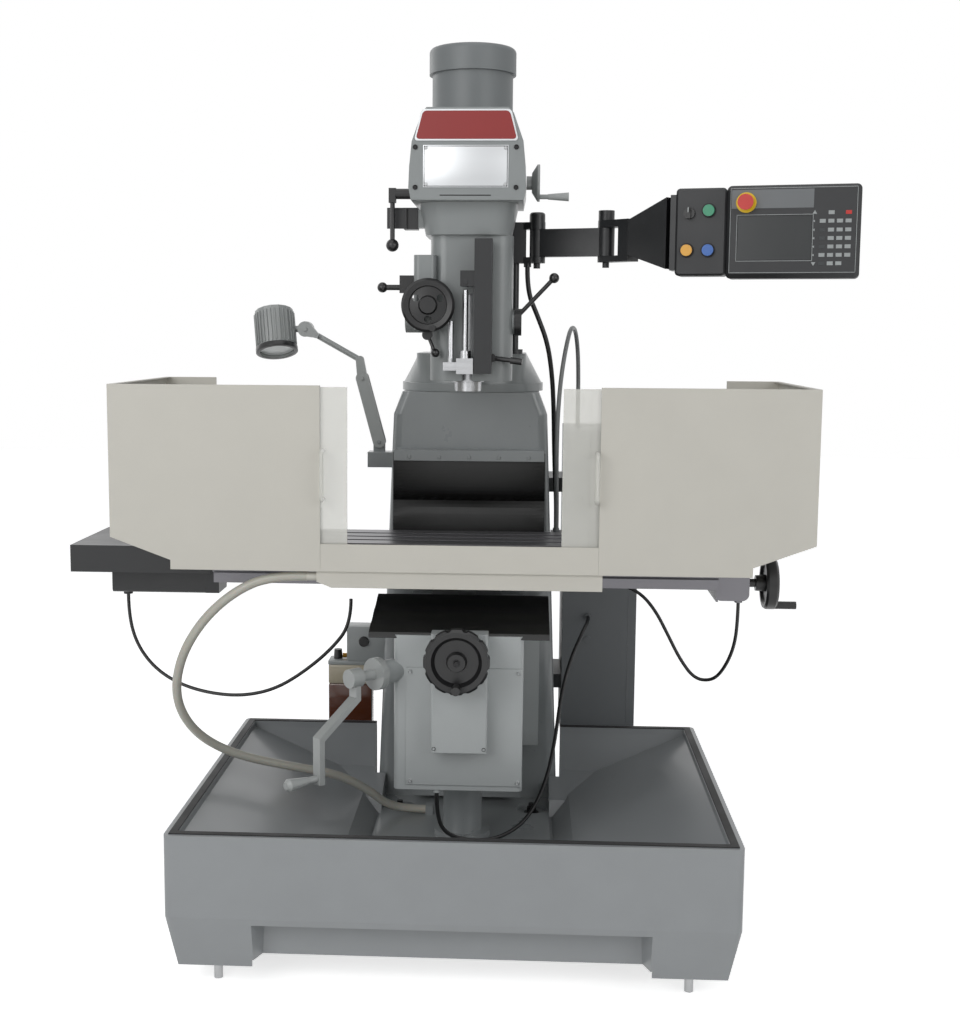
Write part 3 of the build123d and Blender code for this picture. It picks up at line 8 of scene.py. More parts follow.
import bmesh
import bpy
from bpy.props import FloatProperty, FloatVectorProperty, IntProperty, PointerProperty
from mathutils import Matrix, Vector


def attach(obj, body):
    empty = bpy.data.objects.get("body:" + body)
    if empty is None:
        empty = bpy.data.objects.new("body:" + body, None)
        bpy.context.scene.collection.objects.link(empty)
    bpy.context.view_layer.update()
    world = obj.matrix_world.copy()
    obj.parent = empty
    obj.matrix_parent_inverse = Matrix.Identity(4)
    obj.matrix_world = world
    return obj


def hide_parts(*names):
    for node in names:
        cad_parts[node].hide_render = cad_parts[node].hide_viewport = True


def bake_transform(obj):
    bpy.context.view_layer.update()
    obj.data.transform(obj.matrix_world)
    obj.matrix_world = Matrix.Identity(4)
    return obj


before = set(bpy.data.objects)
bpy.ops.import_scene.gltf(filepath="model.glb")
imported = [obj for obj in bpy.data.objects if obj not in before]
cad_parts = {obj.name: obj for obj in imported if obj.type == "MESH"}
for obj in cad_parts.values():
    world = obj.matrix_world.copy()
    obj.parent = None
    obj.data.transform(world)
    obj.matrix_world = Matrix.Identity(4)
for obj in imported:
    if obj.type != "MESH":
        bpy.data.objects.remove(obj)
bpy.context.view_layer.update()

bl_info = {
    "name": "Knee Mill Builder",
    "version": (1, 0, 0),
    "blender": (4, 5, 0),
    "location": "View3D > Sidebar > Mill",
    "description": "Dresses the CAD frame of a knee-type milling machine",
    "category": "Object",
}

MM = 0.001
SMOOTH_ANGLE = radians(35)

# Sizes taken from the CAD frame, in millimetres
HOSE_DIAMETER = 22
CONDUIT_DIAMETER = 12
SHEET_THICKNESS = 2.5
HOUSING_FRONT = 105


def mm(x, y, z):
    """A point of the row frame, given in millimetres."""
    return Vector((x, y, z)) * MM


def linear(code):
    """An sRGB hex colour as linear RGBA."""
    channels = [int(code[i : i + 2], 16) / 255 for i in (1, 3, 5)]
    return tuple(c / 12.92 if c <= 0.04045 else ((c + 0.055) / 1.055) ** 2.4 for c in channels) + (1.0,)


# Materials


def add(tree, kind, links=None, values=None, **settings):
    """Adds a node with its settings, socket values and links."""
    node = tree.nodes.new(kind)
    for name, value in settings.items():
        setattr(node, name, value)
    for name, value in (values or {}).items():
        node.inputs[name].default_value = value
    for name, socket in (links or {}).items():
        tree.links.new(socket, node.inputs[name])
    return node


def surface(
    name,
    colour,
    roughness,
    metallic=0.0,
    grain=2.0,
    relief=0.05,
    stretch=(1, 1, 1),
    mottle=0.03,
    edge=0.8,
    coat=0.0,
    **extra,
):
    """A material whose grain, relief and edge radius are in millimetres."""
    material = bpy.data.materials.new(name)
    material.use_nodes = True
    tree = material.node_tree
    tree.nodes.clear()
    place = add(tree, "ShaderNodeTexCoord")
    spread = add(
        tree,
        "ShaderNodeMapping",
        {"Vector": place.outputs["Object"]},
        {"Scale": stretch},
    )
    fine = add(
        tree,
        "ShaderNodeTexNoise",
        {"Vector": spread.outputs["Vector"]},
        {"Scale": 1 / (grain * MM), "Detail": 2.0},
    )
    broad = add(
        tree,
        "ShaderNodeTexNoise",
        {"Vector": spread.outputs["Vector"]},
        {"Scale": 9.0, "Detail": 4.0},
    )
    shade = add(
        tree,
        "ShaderNodeMapRange",
        {"Value": broad.outputs["Fac"]},
        {"From Min": 0.3, "From Max": 0.7, "To Min": 1 - mottle, "To Max": 1 + mottle},
    )
    tint = add(
        tree,
        "ShaderNodeHueSaturation",
        {"Value": shade.outputs["Result"]},
        {"Color": colour},
    )
    rough = add(
        tree,
        "ShaderNodeMapRange",
        {"Value": broad.outputs["Fac"]},
        {
            "From Min": 0.3,
            "From Max": 0.7,
            "To Min": roughness * 0.88,
            "To Max": min(1.0, roughness * 1.12),
        },
    )
    rounded = add(tree, "ShaderNodeBevel", values={"Radius": edge * MM}, samples=4)
    bump = add(
        tree,
        "ShaderNodeBump",
        {"Height": fine.outputs["Fac"], "Normal": rounded.outputs["Normal"]},
        {"Strength": 0.6, "Distance": relief * MM},
    )
    shader = add(
        tree,
        "ShaderNodeBsdfPrincipled",
        {
            "Base Color": tint.outputs["Color"],
            "Roughness": rough.outputs["Result"],
            "Normal": bump.outputs["Normal"],
        },
        {"Metallic": metallic, "Coat Weight": coat, "Coat Roughness": 0.12, **extra},
    )
    add(tree, "ShaderNodeOutputMaterial", {"Surface": shader.outputs["BSDF"]})
    return material


made = {}


def finish(name):
    """The named material, made the first time it is asked for."""
    if name not in made:
        colours = bpy.context.scene.mill_colours
        recipes = {
            # Grey gloss enamel on the welded chip tray
            "tray_enamel": lambda: surface(name, (*colours.tray, 1), 0.34, grain=5, relief=0.06, coat=0.25),
            # Darker grey enamel on the steel electrical cabinet
            "cabinet_enamel": lambda: surface(name, (*colours.cabinet, 1), 0.42, grain=3, relief=0.05),
            # Glossy hammered enamel on the column and base casting
            "column_enamel": lambda: surface(
                name, (*colours.column, 1), 0.3, grain=9, relief=0.5, coat=0.35, edge=2.5
            ),
            # Light grey enamel on the knee, saddle, ram and head castings
            "casting_enamel": lambda: surface(
                name, (*colours.casting, 1), 0.36, grain=7, relief=0.3, coat=0.2, edge=1.8
            ),
            # Painted shade: the castings' light grey enamel darkened for the turret, ram and head castings
            "head_enamel_painted_shade": lambda: surface(
                name, (*colours.head, 1), 0.36, grain=7, relief=0.3, coat=0.2, edge=1.8
            ),
            # Red enamel on the bare badge plate
            "badge_enamel": lambda: surface(name, linear("#8A1A18"), 0.36, grain=2, relief=0.02, coat=0.3),
            # Off-white powder coat on the sheet guards
            "guard_coat": lambda: surface(
                name, (*colours.guards, 1), 0.5, grain=1.2, relief=0.04, mottle=0.015
            ),
            # Smooth silver-grey enamel on the cranks and the lamp arm
            "silver_enamel": lambda: surface(name, linear("#9DA09F"), 0.33, grain=4, relief=0.1, coat=0.2),
            # Satin grey enamel on the spindle motor
            "motor_enamel": lambda: surface(name, linear("#737778"), 0.45, grain=3, relief=0.12),
            # Glossy black rubber of the way covers
            "sheet_rubber": lambda: surface(name, linear("#0E0F0F"), 0.4, grain=6, relief=0.05, coat=0.1),
            # Matt black rubber of the tray's edge strip
            "strip_rubber": lambda: surface(name, linear("#1B1B1C"), 0.62, grain=1.5, relief=0.1),
            # Matt black PVC cable jacket
            "cable_jacket": lambda: surface(name, linear("#131314"), 0.42, grain=1.5, relief=0.04, edge=0.2),
            # Clear-grey coolant hose
            "coolant_hose": lambda: surface(
                name,
                linear("#B4B2A8"),
                0.38,
                grain=6,
                relief=0.1,
                edge=0.2,
                **{"Subsurface Weight": 0.15, "Subsurface Scale": 0.004},
            ),
            # Grey plastic-coated flexible conduit
            "conduit": lambda: surface(name, linear("#8A8C8C"), 0.4, grain=1, relief=0.1, edge=0.2),
            # Satin black enamel on the drive, scale and pendant arm
            "black_enamel": lambda: surface(name, linear("#1B1C1E"), 0.38, grain=3, relief=0.12),
            # Moulded black plastic of the wheels, knobs and levers
            "black_plastic": lambda: surface(name, linear("#161617"), 0.33, grain=2, relief=0.05),
            # Textured black plastic of the pendant's case
            "case_plastic": lambda: surface(name, linear("#202123"), 0.48, grain=0.9, relief=0.08),
            # Ground cast iron of the table
            "ground_iron": lambda: surface(
                name, linear("#77767A"), 0.34, 0.85, grain=1.2, relief=0.03, stretch=(0.04, 1, 1), mottle=0.08
            ),
            # Ground steel of the quill and spindle
            "ground_steel": lambda: surface(
                name, linear("#B9BABC"), 0.24, 1.0, grain=0.8, relief=0.02, stretch=(1, 1, 12), mottle=0.04
            ),
            # Zinc-plated screws, nuts and small fittings
            "zinc_steel": lambda: surface(
                name, linear("#A9AAAB"), 0.34, 0.95, grain=1.2, relief=0.03, edge=0.4
            ),
            # Black-oxide socket screws and bolts
            "black_steel": lambda: surface(name, linear("#2B2B2C"), 0.4, 0.7, grain=1, relief=0.03, edge=0.4),
            # Satin aluminium of plates and the lamp body
            "satin_aluminium": lambda: surface(
                name, linear("#C6C8CA"), 0.36, 0.9, grain=0.7, relief=0.015, stretch=(0.08, 1, 1)
            ),
            # Translucent plastic of the oil bottle's empty top
            "oil_bottle": lambda: surface(
                name, linear("#C9BFA8"), 0.25, grain=4, relief=0.02, **{"Transmission Weight": 0.2}
            ),
            # Clear polycarbonate door sheet
            "clear_sheet": lambda: surface(
                name, linear("#E4E3DC"), 0.12, grain=40, relief=0.0, mottle=0.0, edge=0.2, Alpha=0.55
            ),
            # Dark glass over the display
            "screen_glass": lambda: surface(name, linear("#2A2D2E"), 0.22, grain=40, relief=0.0, mottle=0.0),
            # Grey membrane of the keypad
            "membrane": lambda: surface(name, linear("#2C2F31"), 0.5, grain=1, relief=0.02),
            # Pale printed keys
            "pale_key": lambda: surface(name, linear("#9EA2A2"), 0.45, grain=1, relief=0.02, edge=0.3),
            # Moulded green, amber, blue, red and yellow control plastics
            "green_plastic": lambda: surface(name, linear("#1D8A63"), 0.3, grain=2, relief=0.02, coat=0.3),
            "amber_plastic": lambda: surface(name, linear("#E0A11B"), 0.3, grain=2, relief=0.02, coat=0.3),
            "blue_plastic": lambda: surface(name, linear("#1F5FB0"), 0.3, grain=2, relief=0.02, coat=0.3),
            "red_plastic": lambda: surface(name, linear("#C4241C"), 0.3, grain=2, relief=0.02, coat=0.3),
            "yellow_plastic": lambda: surface(name, linear("#E8C11E"), 0.35, grain=2, relief=0.02),
            # Brass of the oil fitting
            "brass": lambda: surface(name, linear("#B98A3A"), 0.3, 1.0, grain=1, relief=0.02, edge=0.3),
            # Oil seen through the bottle
            "oil": lambda: surface(name, linear("#5A2A12"), 0.18, grain=4, relief=0.0, coat=0.4),
            # Plain grey band on the pendant's panel
            "band_grey": lambda: surface(name, linear("#6A6D6F"), 0.4, grain=1, relief=0.01),
            # Frosted lamp lens
            "lamp_glass": lambda: surface(name, linear("#E9ECEC"), 0.3, grain=3, relief=0.1, coat=0.3),
            # Pale studio floor
            "studio_floor": lambda: surface(
                name,
                linear("#F6F6F5"),
                0.7,
                grain=30,
                relief=0.0,
                mottle=0.0,
                **{"Emission Color": (1, 1, 1, 1)},
            ),
        }
        made[name] = recipes[name]()
    return made[name]


def paint(material, *nodes):
    """Gives CAD nodes that keep their shape a finer material."""
    for node in nodes:
        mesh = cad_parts[node]
        for place in mesh.material_slots:
            place.material = finish(material)


# Mesh building


def piece(name, build, material, body):
    """Makes a mesh object from build(bm) and fixes it to a body."""
    mesh = bpy.data.meshes.new(name)
    bm = bmesh.new()
    build(bm)
    bmesh.ops.recalc_face_normals(bm, faces=bm.faces)
    for edge in bm.edges:
        edge.smooth = not edge.is_manifold or edge.calc_face_angle(0) < SMOOTH_ANGLE
    for face in bm.faces:
        face.smooth = True
    bm.to_mesh(mesh)
    bm.free()
    mesh.materials.append(finish(material))
    made_object = bpy.data.objects.new(name, mesh)
    bpy.context.scene.collection.objects.link(made_object)
    if body:
        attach(made_object, body)
    return made_object


def turned(direction):
    """The rotation that takes +Z to a direction."""
    return Vector((0, 0, 1)).rotation_difference(Vector(direction)).to_matrix().to_4x4()


def add_rod(bm, start, direction, radius, length, tip=None, sides=32):
    """A capped round bar or cone from a start point, in millimetres."""
    way = Vector(direction).normalized()
    middle = mm(*start) + way * length * MM / 2
    return bmesh.ops.create_cone(
        bm,
        cap_ends=True,
        segments=sides,
        radius1=radius * MM,
        radius2=(radius if tip is None else tip) * MM,
        depth=length * MM,
        matrix=Matrix.Translation(middle) @ turned(way),
    )["verts"]


def add_block(bm, x, y, z, bevel=0.0, frame_matrix=None):
    """A box between two corners, in millimetres, with its edges bevelled."""
    size = [(b - a) * MM for a, b in (x, y, z)]
    middle = [(a + b) / 2 * MM for a, b in (x, y, z)]
    matrix = Matrix.Translation(middle) @ Matrix.Diagonal((*size, 1))
    verts = bmesh.ops.create_cube(bm, size=1, matrix=(frame_matrix or Matrix()) @ matrix)["verts"]
    if bevel:
        edges = list({edge for vert in verts for edge in vert.link_edges})
        bmesh.ops.bevel(
            bm,
            geom=edges,
            offset=bevel * MM,
            segments=2,
            affect="EDGES",
            profile=0.5,
            material=-1,
        )
    return verts


def add_turning(bm, profile, origin, direction, steps=48):
    """A closed profile of (radius, height) points in millimetres, spun round an axis."""
    placed = Matrix.Translation(mm(*origin)) @ turned(direction)
    verts = [bm.verts.new(placed @ mm(radius, 0, height)) for radius, height in profile]
    edges = [bm.edges.new((a, b)) for a, b in zip(verts, verts[1:] + verts[:1])]
    bmesh.ops.spin(
        bm,
        geom=verts + edges,
        cent=placed.to_translation(),
        axis=placed.to_3x3() @ Vector((0, 0, 1)),
        angle=2 * pi,
        steps=steps,
        use_merge=True,
    )


def add_socket_screw(bm, at, direction, radius, height):
    """A cap screw head with a hexagon socket."""
    way = Vector(direction).normalized()
    verts = add_rod(bm, at, way, radius, height, sides=24)
    faces = {face for vert in verts for face in vert.link_faces}
    top = max(faces, key=lambda face: face.calc_center_median().dot(way))
    bmesh.ops.inset_region(bm, faces=[top], thickness=radius * 0.12 * MM, depth=radius * 0.1 * MM)
    bmesh.ops.inset_region(bm, faces=[top], thickness=radius * 0.32 * MM, depth=0.0)
    bmesh.ops.translate(bm, verts=top.verts[:], vec=-way * height * 0.5 * MM)


# Cables and hoses


def spline_route(name, points, radius):
    """A NURBS curve through the room left by its control points."""
    curve = bpy.data.curves.new(name, "CURVE")
    curve.dimensions = "3D"
    spline = curve.splines.new("NURBS")
    spline.points.add(len(points) - 1)
    for point, place in zip(spline.points, points):
        point.co = (*mm(*place), 1)
    spline.order_u = 3
    spline.use_endpoint_u = True
    spline.resolution_u = 12
    curve.bevel_depth = radius * MM
    curve.bevel_resolution = 6
    curve.use_fill_caps = True
    return curve


def route_points(name, points):
    """Points along the route's spline, read from Blender."""
    curve = spline_route(name + "_line", points, 0)
    line = bpy.data.objects.new(name + "_line", curve)
    mesh = bpy.data.meshes.new_from_object(line)
    found = [vert.co.copy() for vert in mesh.vertices]
    bpy.data.objects.remove(line)
    bpy.data.curves.remove(curve)
    bpy.data.meshes.remove(mesh)
    return found


def run_length(points):
    return sum((b - a).length for a, b in zip(points, points[1:]))


def tube(name, path, diameter, material, sides=14):
    """A round mesh tube along points, with flat ends."""

    def build(bm):
        rings = []
        turn = None
        for index, point in enumerate(path):
            before, after = path[max(index - 1, 0)], path[min(index + 1, len(path) - 1)]
            way = (after - before).normalized()
            if turn is None:
                turn = way.orthogonal().normalized()
            turn = (turn - way * turn.dot(way)).normalized()
            side = way.cross(turn)
            made_ring = bmesh.ops.create_circle(bm, cap_ends=False, segments=sides, radius=diameter / 2 * MM)
            ring = made_ring["verts"]
            basis = Matrix((turn, side, way)).transposed().to_4x4()
            bmesh.ops.transform(bm, matrix=Matrix.Translation(point) @ basis, verts=ring)
            rings.append(list({edge for vert in ring for edge in vert.link_edges}))
        for one, two in zip(rings, rings[1:]):
            bmesh.ops.bridge_loops(bm, edges=one + two)
        for ring in (rings[0], rings[-1]):
            bmesh.ops.contextual_create(bm, geom=ring)

    return piece(name, build, material, None)


def bending_cord(name, points, diameter, node):
    """A cord between two bodies that one joint joins, as a mesh tube fixed to no body."""
    path = route_points(name, points)
    cord = tube(name, path, diameter, "cable_jacket")
    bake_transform(cord)
    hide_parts(node)


motor_cable_route = [
    (-886, 207, 763),
    (-886, 207, 700),
    (-862, 198, 625),
    (-812, 188, 565),
    (-742, 176, 527),
    (-660, 166, 508),
    (-575, 156, 506),
    (-492, 146, 527),
    (-418, 136, 573),
    (-340, 122, 640),
    (-287, 112, 710),
    (-287, 112, 775),
]
table_cable_route = [
    (699, 190, 768),
    (699, 190, 700),
    (692, 215, 632),
    (672, 255, 570),
    (648, 280, 540),
    (606, 300, 540),
    (568, 318, 590),
    (535, 332, 655),
    (503, 340, 715),
    (462, 345, 762),
    (400, 347, 788),
    (345, 340, 797),
    (291, 340, 797),
]
knee_cable_route = [
    (-50, -169, 365),
    (-50, -169, 300),
    (-25, -120, 240),
    (40, -50, 203),
    (105, 20, 190),
    (168, 95, 212),
    (214, 190, 275),
    (240, 285, 365),
    (256, 372, 470),
    (282, 420, 560),
    (316, 462, 628),
    (334, 510, 652),
    (334, 550, 652),
]
drain_hose_route = [
    (-354, -190, 883),
    (-440, -190, 883),
    (-530, -196, 842),
    (-610, -190, 765),
    (-665, -170, 668),
    (-684, -128, 560),
    (-650, -62, 462),
    (-570, 10, 392),
    (-450, 80, 345),
    (-330, 150, 305),
    (-255, 205, 248),
    (-214, 245, 198),
    (-165, 280, 171.5),
    (-105, 280, 171.5),
]
pendant_cable_route = [
    (150, 468, 1624),
    (150, 468, 1560),
    (180, 471, 1492),
    (208, 480, 1420),
    (222, 502, 1330),
    (228, 528, 1235),
    (231, 553, 1140),
    (235, 578, 1050),
    (241, 606, 972),
    (241, 606, 898),
]
head_conduit_route = [
    (241, 545, 898),
    (241, 545, 965),
    (238, 512, 1045),
    (237, 502, 1140),
    (239, 500, 1235),
    (246, 503, 1330),
    (258, 518, 1408),
    (272, 566, 1464),
    (287, 634, 1462),
    (297, 676, 1402),
    (300, 684, 1322),
    (300, 680, 1254),
    (300, 680, 1190),
]


# Settings


def colour_setting(name, description, code):
    return FloatVectorProperty(
        name=name, description=description, default=linear(code)[:3], size=3, min=0, max=1, subtype="COLOR"
    )


class MillColours(bpy.types.PropertyGroup):
    tray: colour_setting("Tray", "Enamel of the chip tray", "#8E9193")
    cabinet: colour_setting("Cabinet", "Enamel of the electrical cabinet", "#717476")
    column: colour_setting("Column", "Enamel of the column and base", "#8B8F90")
    casting: colour_setting("Castings", "Enamel of the knee and saddle", "#A6AAAA")
    # Painted shade: a darker copy of the castings' enamel, for the turret, ram and head
    head: colour_setting("Head", "Enamel of the turret, ram and head", "#8B8F8F")
    guards: colour_setting("Guards", "Powder coat of the sheet guards", "#C8C5BC")


class MillSizes(bpy.types.PropertyGroup):
    lamp_fins: IntProperty(
        name="Lamp fins", description="Cooling fins round the lamp", default=30, min=6, max=60
    )
    cable_diameter: FloatProperty(
        name="Table cables",
        description="Diameter of the two cables under the table, in millimetres",
        default=9.0,
        min=5.0,
        max=14.0,
    )
    key_size: FloatProperty(
        name="Keys",
        description="Width of a key on the pendant, in millimetres",
        default=14.0,
        min=8.0,
        max=20.0,
    )
    lens: FloatProperty(
        name="Lens",
        description="Focal length of the camera",
        default=50.76,
        min=20,
        max=120,
        unit="CAMERA",
    )


# Operators


class MILL_OT_camera(bpy.types.Operator):
    """Places the camera where the photograph was taken from"""

    bl_idname = "mill.camera"
    bl_label = "Camera"

    def execute(self, context):
        yaw, pitch, roll = -0.054, 0.1252, 0.0063
        forward = Vector((sin(yaw) * cos(pitch), cos(yaw) * cos(pitch), -sin(pitch)))
        right = Vector((cos(yaw), -sin(yaw), 0))
        up = right.cross(forward)
        turned_right = cos(roll) * right + sin(roll) * up
        turned_up = cos(roll) * up - sin(roll) * right
        basis = Matrix((turned_right, turned_up, -forward)).transposed().to_4x4()
        data = bpy.data.cameras.new("camera")
        data.lens = context.scene.mill_sizes.lens
        data.sensor_fit = "AUTO"
        data.sensor_width = 36
        data.shift_x = 0.0352
        data.shift_y = 0.0005
        data.clip_end = 60
        camera = bpy.data.objects.new("camera", data)
        camera.matrix_world = Matrix.Translation(mm(143.3, -3511.4, 1445.6)) @ basis
        context.scene.collection.objects.link(camera)
        context.scene.camera = camera
        return {"FINISHED"}


class MILL_OT_cables(bpy.types.Operator):
    """Lays the cables, the drain hose and the conduit"""

    bl_idname = "mill.cables"
    bl_label = "Cables and Hoses"

    def execute(self, context):
        thin = context.scene.mill_sizes.cable_diameter
        bending_cord("motor_cable_run", motor_cable_route, thin, "motor_cable")
        bending_cord("table_cable_run", table_cable_route, thin, "table_cable")
        bending_cord("knee_cable_run", knee_cable_route, 10, "knee_cable")
        bending_cord("pendant_cable_run", pendant_cable_route, 13, "pendant_cable")
        self.hose()
        self.conduit()
        return {"FINISHED"}

    def hose(self):
        """Three stretches of the hose, each a third of its points."""
        path = route_points("drain_hose", drain_hose_route)
        third = len(path) // 3
        stretches = (
            (0, third, "table", "saddle"),
            (third, 2 * third, "saddle", "knee"),
            (2 * third, len(path) - 1, "knee", "base"),
        )
        for count, (first, last, upper, lower) in enumerate(stretches):
            part = path[first : last + 1]
            name = f"drain_hose_run_{count}"
            run = tube(name, part, HOSE_DIAMETER, "coolant_hose", sides=20)
            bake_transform(run)
            if count == 0:
                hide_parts("drain_hose")

    def conduit(self):
        curve = spline_route("head_conduit_run", head_conduit_route, CONDUIT_DIAMETER / 2)
        run = bpy.data.objects.new("head_conduit_run", curve)
        bpy.context.scene.collection.objects.link(run)
        curve.materials.append(finish("conduit"))
        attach(run, "base")
        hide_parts("head_conduit")
        run_length(route_points("head_conduit", head_conduit_route))


class MILL_OT_way_covers(bpy.types.Operator):
    """Makes the rubber curtain on the column and the rubber flap over the knee's ways"""

    bl_idname = "mill.way_covers"
    bl_label = "Way Covers"

    def execute(self, context):
        def curtain(bm):
            grid = bmesh.ops.create_grid(bm, x_segments=12, y_segments=40, size=0.5)["verts"]
            for vert in grid:
                x, height = vert.co.x * 408, 763 + (vert.co.y + 0.5) * 365
                vert.co = mm(x, 381.2 - 0.4 * sin(height / 58) * cos(x / 170), height)
            bmesh.ops.solidify(bm, geom=bm.faces[:], thickness=SHEET_THICKNESS * MM)

        cover = piece("way_curtain_sheet", curtain, "sheet_rubber", None)
        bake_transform(cover)
        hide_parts("way_curtain")

        def flap(bm):
            grid = bmesh.ops.create_grid(bm, x_segments=10, y_segments=30, size=0.5)["verts"]
            for vert in grid:
                share = 0.5 - vert.co.y
                y = 59.7 - share * 237.7
                z = 799.5 - share * 50.5 + 1.3 * sin(share * 17)
                if share > 0.97:
                    z -= 8
                vert.co = mm(vert.co.x * 424, y, z)
            bmesh.ops.solidify(bm, geom=bm.faces[:], thickness=SHEET_THICKNESS * MM)

        front = piece("front_cover_sheet", flap, "sheet_rubber", None)
        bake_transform(front)
        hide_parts("front_way_cover")
        return {"FINISHED"}


class MILL_OT_castings(bpy.types.Operator):
    """Finishes the castings, sheet metal and machined pieces"""

    bl_idname = "mill.castings"
    bl_label = "Castings and Sheet Metal"

    def execute(self, context):
        paint("tray_enamel", "chip_tray")
        paint("strip_rubber", "tray_gasket")
        paint("zinc_steel", "levelling_screws")
        paint("column_enamel", "column")
        paint("cabinet_enamel", "cabinet", "cabinet_lid")
        paint("casting_enamel", "knee", "knee_cover", "saddle")
        # The turret, ram and head take the castings' enamel darkened as painted shade
        paint("head_enamel_painted_shade", "turret", "ram", "head_adapter", "head_casting", "belt_housing")
        paint("guard_coat", "guard_left", "guard_right", "splash_pan", "drain_trough")
        paint("clear_sheet", "door_left", "door_right")
        paint("ground_iron", "table")
        paint("ground_steel", "quill", "spindle")
        paint("motor_enamel", "spindle_motor")
        paint("silver_enamel", "knee_crank", "lamp_arm", "speed_crank", "lamp_tube")
        paint("black_enamel", "x_drive_motor", "x_drive_cover", "quill_scale", "drawbar_valve")
        paint("black_enamel", "pendant_post", "arm_link", "arm_bracket")
        paint(
            "black_plastic",
            "y_handwheel",
            "x_handwheel",
            "quill_handwheel",
            "feed_trip_lever",
            "quill_feed_handle",
            "quill_lock",
            "brake_lever",
            "feed_lever",
            "selector_knob",
        )
        paint("silver_enamel", "lamp_head")
        paint("case_plastic", "pendant_case")
        paint("green_plastic", "button_green")
        paint("amber_plastic", "button_amber")
        paint("blue_plastic", "button_blue")
        paint("red_plastic", "emergency_stop")
        return {"FINISHED"}


class MILL_OT_plates(bpy.types.Operator):
    """Makes the bare red plate and the bare speed plate on the belt housing, with the screws round them"""

    bl_idname = "mill.plates"
    bl_label = "Housing Plates"

    def execute(self, context):
        front = HOUSING_FRONT

        def badge(bm, inset, depth):
            outline = [
                (-130 + inset, 1910 + inset),
                (124 - inset, 1910 + inset),
                (106 - inset, 1985 - inset),
                (-112 + inset, 1985 - inset),
            ]
            face = bm.faces.new([bm.verts.new(mm(x, front - depth, z)) for x, z in outline])
            grown = bmesh.ops.extrude_face_region(bm, geom=[face])["geom"]
            raised = [item for item in grown if isinstance(item, bmesh.types.BMVert)]
            bmesh.ops.translate(bm, verts=raised, vec=mm(0, depth, 0))
            uprights = [e for e in bm.edges if abs(e.verts[0].co.y - e.verts[1].co.y) > 1e-5]
            bmesh.ops.bevel(
                bm, geom=uprights, offset=9 * MM, segments=5, affect="EDGES", profile=0.5, material=-1
            )

        rim = piece("badge_rim", lambda bm: badge(bm, 0, 3.2), "satin_aluminium", "head")
        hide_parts("housing_plates")
        piece("badge_face", lambda bm: badge(bm, 4, 4), "badge_enamel", "head")

        def plate(bm):
            add_block(bm, (-108, 100), (front - 2, front), (1799, 1900), 0.4)

        def border(bm):
            for z in (1801, 1896.4):
                add_block(bm, (-106, 98), (front - 2.3, front - 1.9), (z, z + 1.6))
            for x in (-106, 96.4):
                add_block(bm, (x, x + 1.6), (front - 2.3, front - 1.9), (1801, 1898))

        piece("speed_plate", plate, "satin_aluminium", "head")
        piece("speed_plate_border", border, "black_enamel", "head")

        def plate_screws(bm):
            for x in (-101, 93):
                for z in (1806, 1893):
                    add_rod(bm, (x, front - 2, z), (0, -1, 0), 4.6, 1.6, tip=3.6, sides=24)

        def cover_screws(bm):
            for x in (-127, 119):
                for z in (1799, 1895):
                    add_socket_screw(bm, (x, front, z), (0, -1, 0), 6, 3)

        def slot(bm):
            add_block(bm, (-67, 58), (front - 0.4, front + 0.4), (1779, 1781.6))

        piece("speed_plate_screws", plate_screws, "zinc_steel", "head")
        piece("housing_cover_screws", cover_screws, "black_steel", "head")
        piece("housing_slot", slot, "black_steel", "head")
        return {"FINISHED"}


class MILL_OT_lubricator(bpy.types.Operator):
    """Makes the oil pump with its bottle, cap and knob"""

    bl_idname = "mill.lubricator"
    bl_label = "Lubricator"

    def execute(self, context):
        def pump(bm):
            add_block(bm, (-349, -237), (530, 600), (517, 617), 3)
            add_block(bm, (-403, -277), (533, 597), (505, 518), 2)

        block = piece("oil_pump", pump, "casting_enamel", "base")
        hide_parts("lubricator")

        def tank(low, high):
            return lambda bm: add_block(bm, (-402, -278), (531.5, 598.5), (low, high), 5)

        def cap(bm):
            add_rod(bm, (-378, 565, 517), (0, 0, 1), 13, 28, tip=11)

        def fitting(bm):
            add_rod(bm, (-364, 560, 528), (1, 0, 0), 7, 18, sides=6)

        def knob(bm):
            add_rod(bm, (-300, 530, 575), (0, -1, 0), 15, 12, tip=13)

        piece("oil_bottle_top", tank(450, 506), "oil_bottle", "base")
        piece("oil_bottle_full", tank(325, 451), "oil", "base")
        piece("oil_cap", cap, "black_plastic", "base")
        piece("oil_fitting", fitting, "brass", "base")
        piece("oil_knob", knob, "black_plastic", "base")
        return {"FINISHED"}


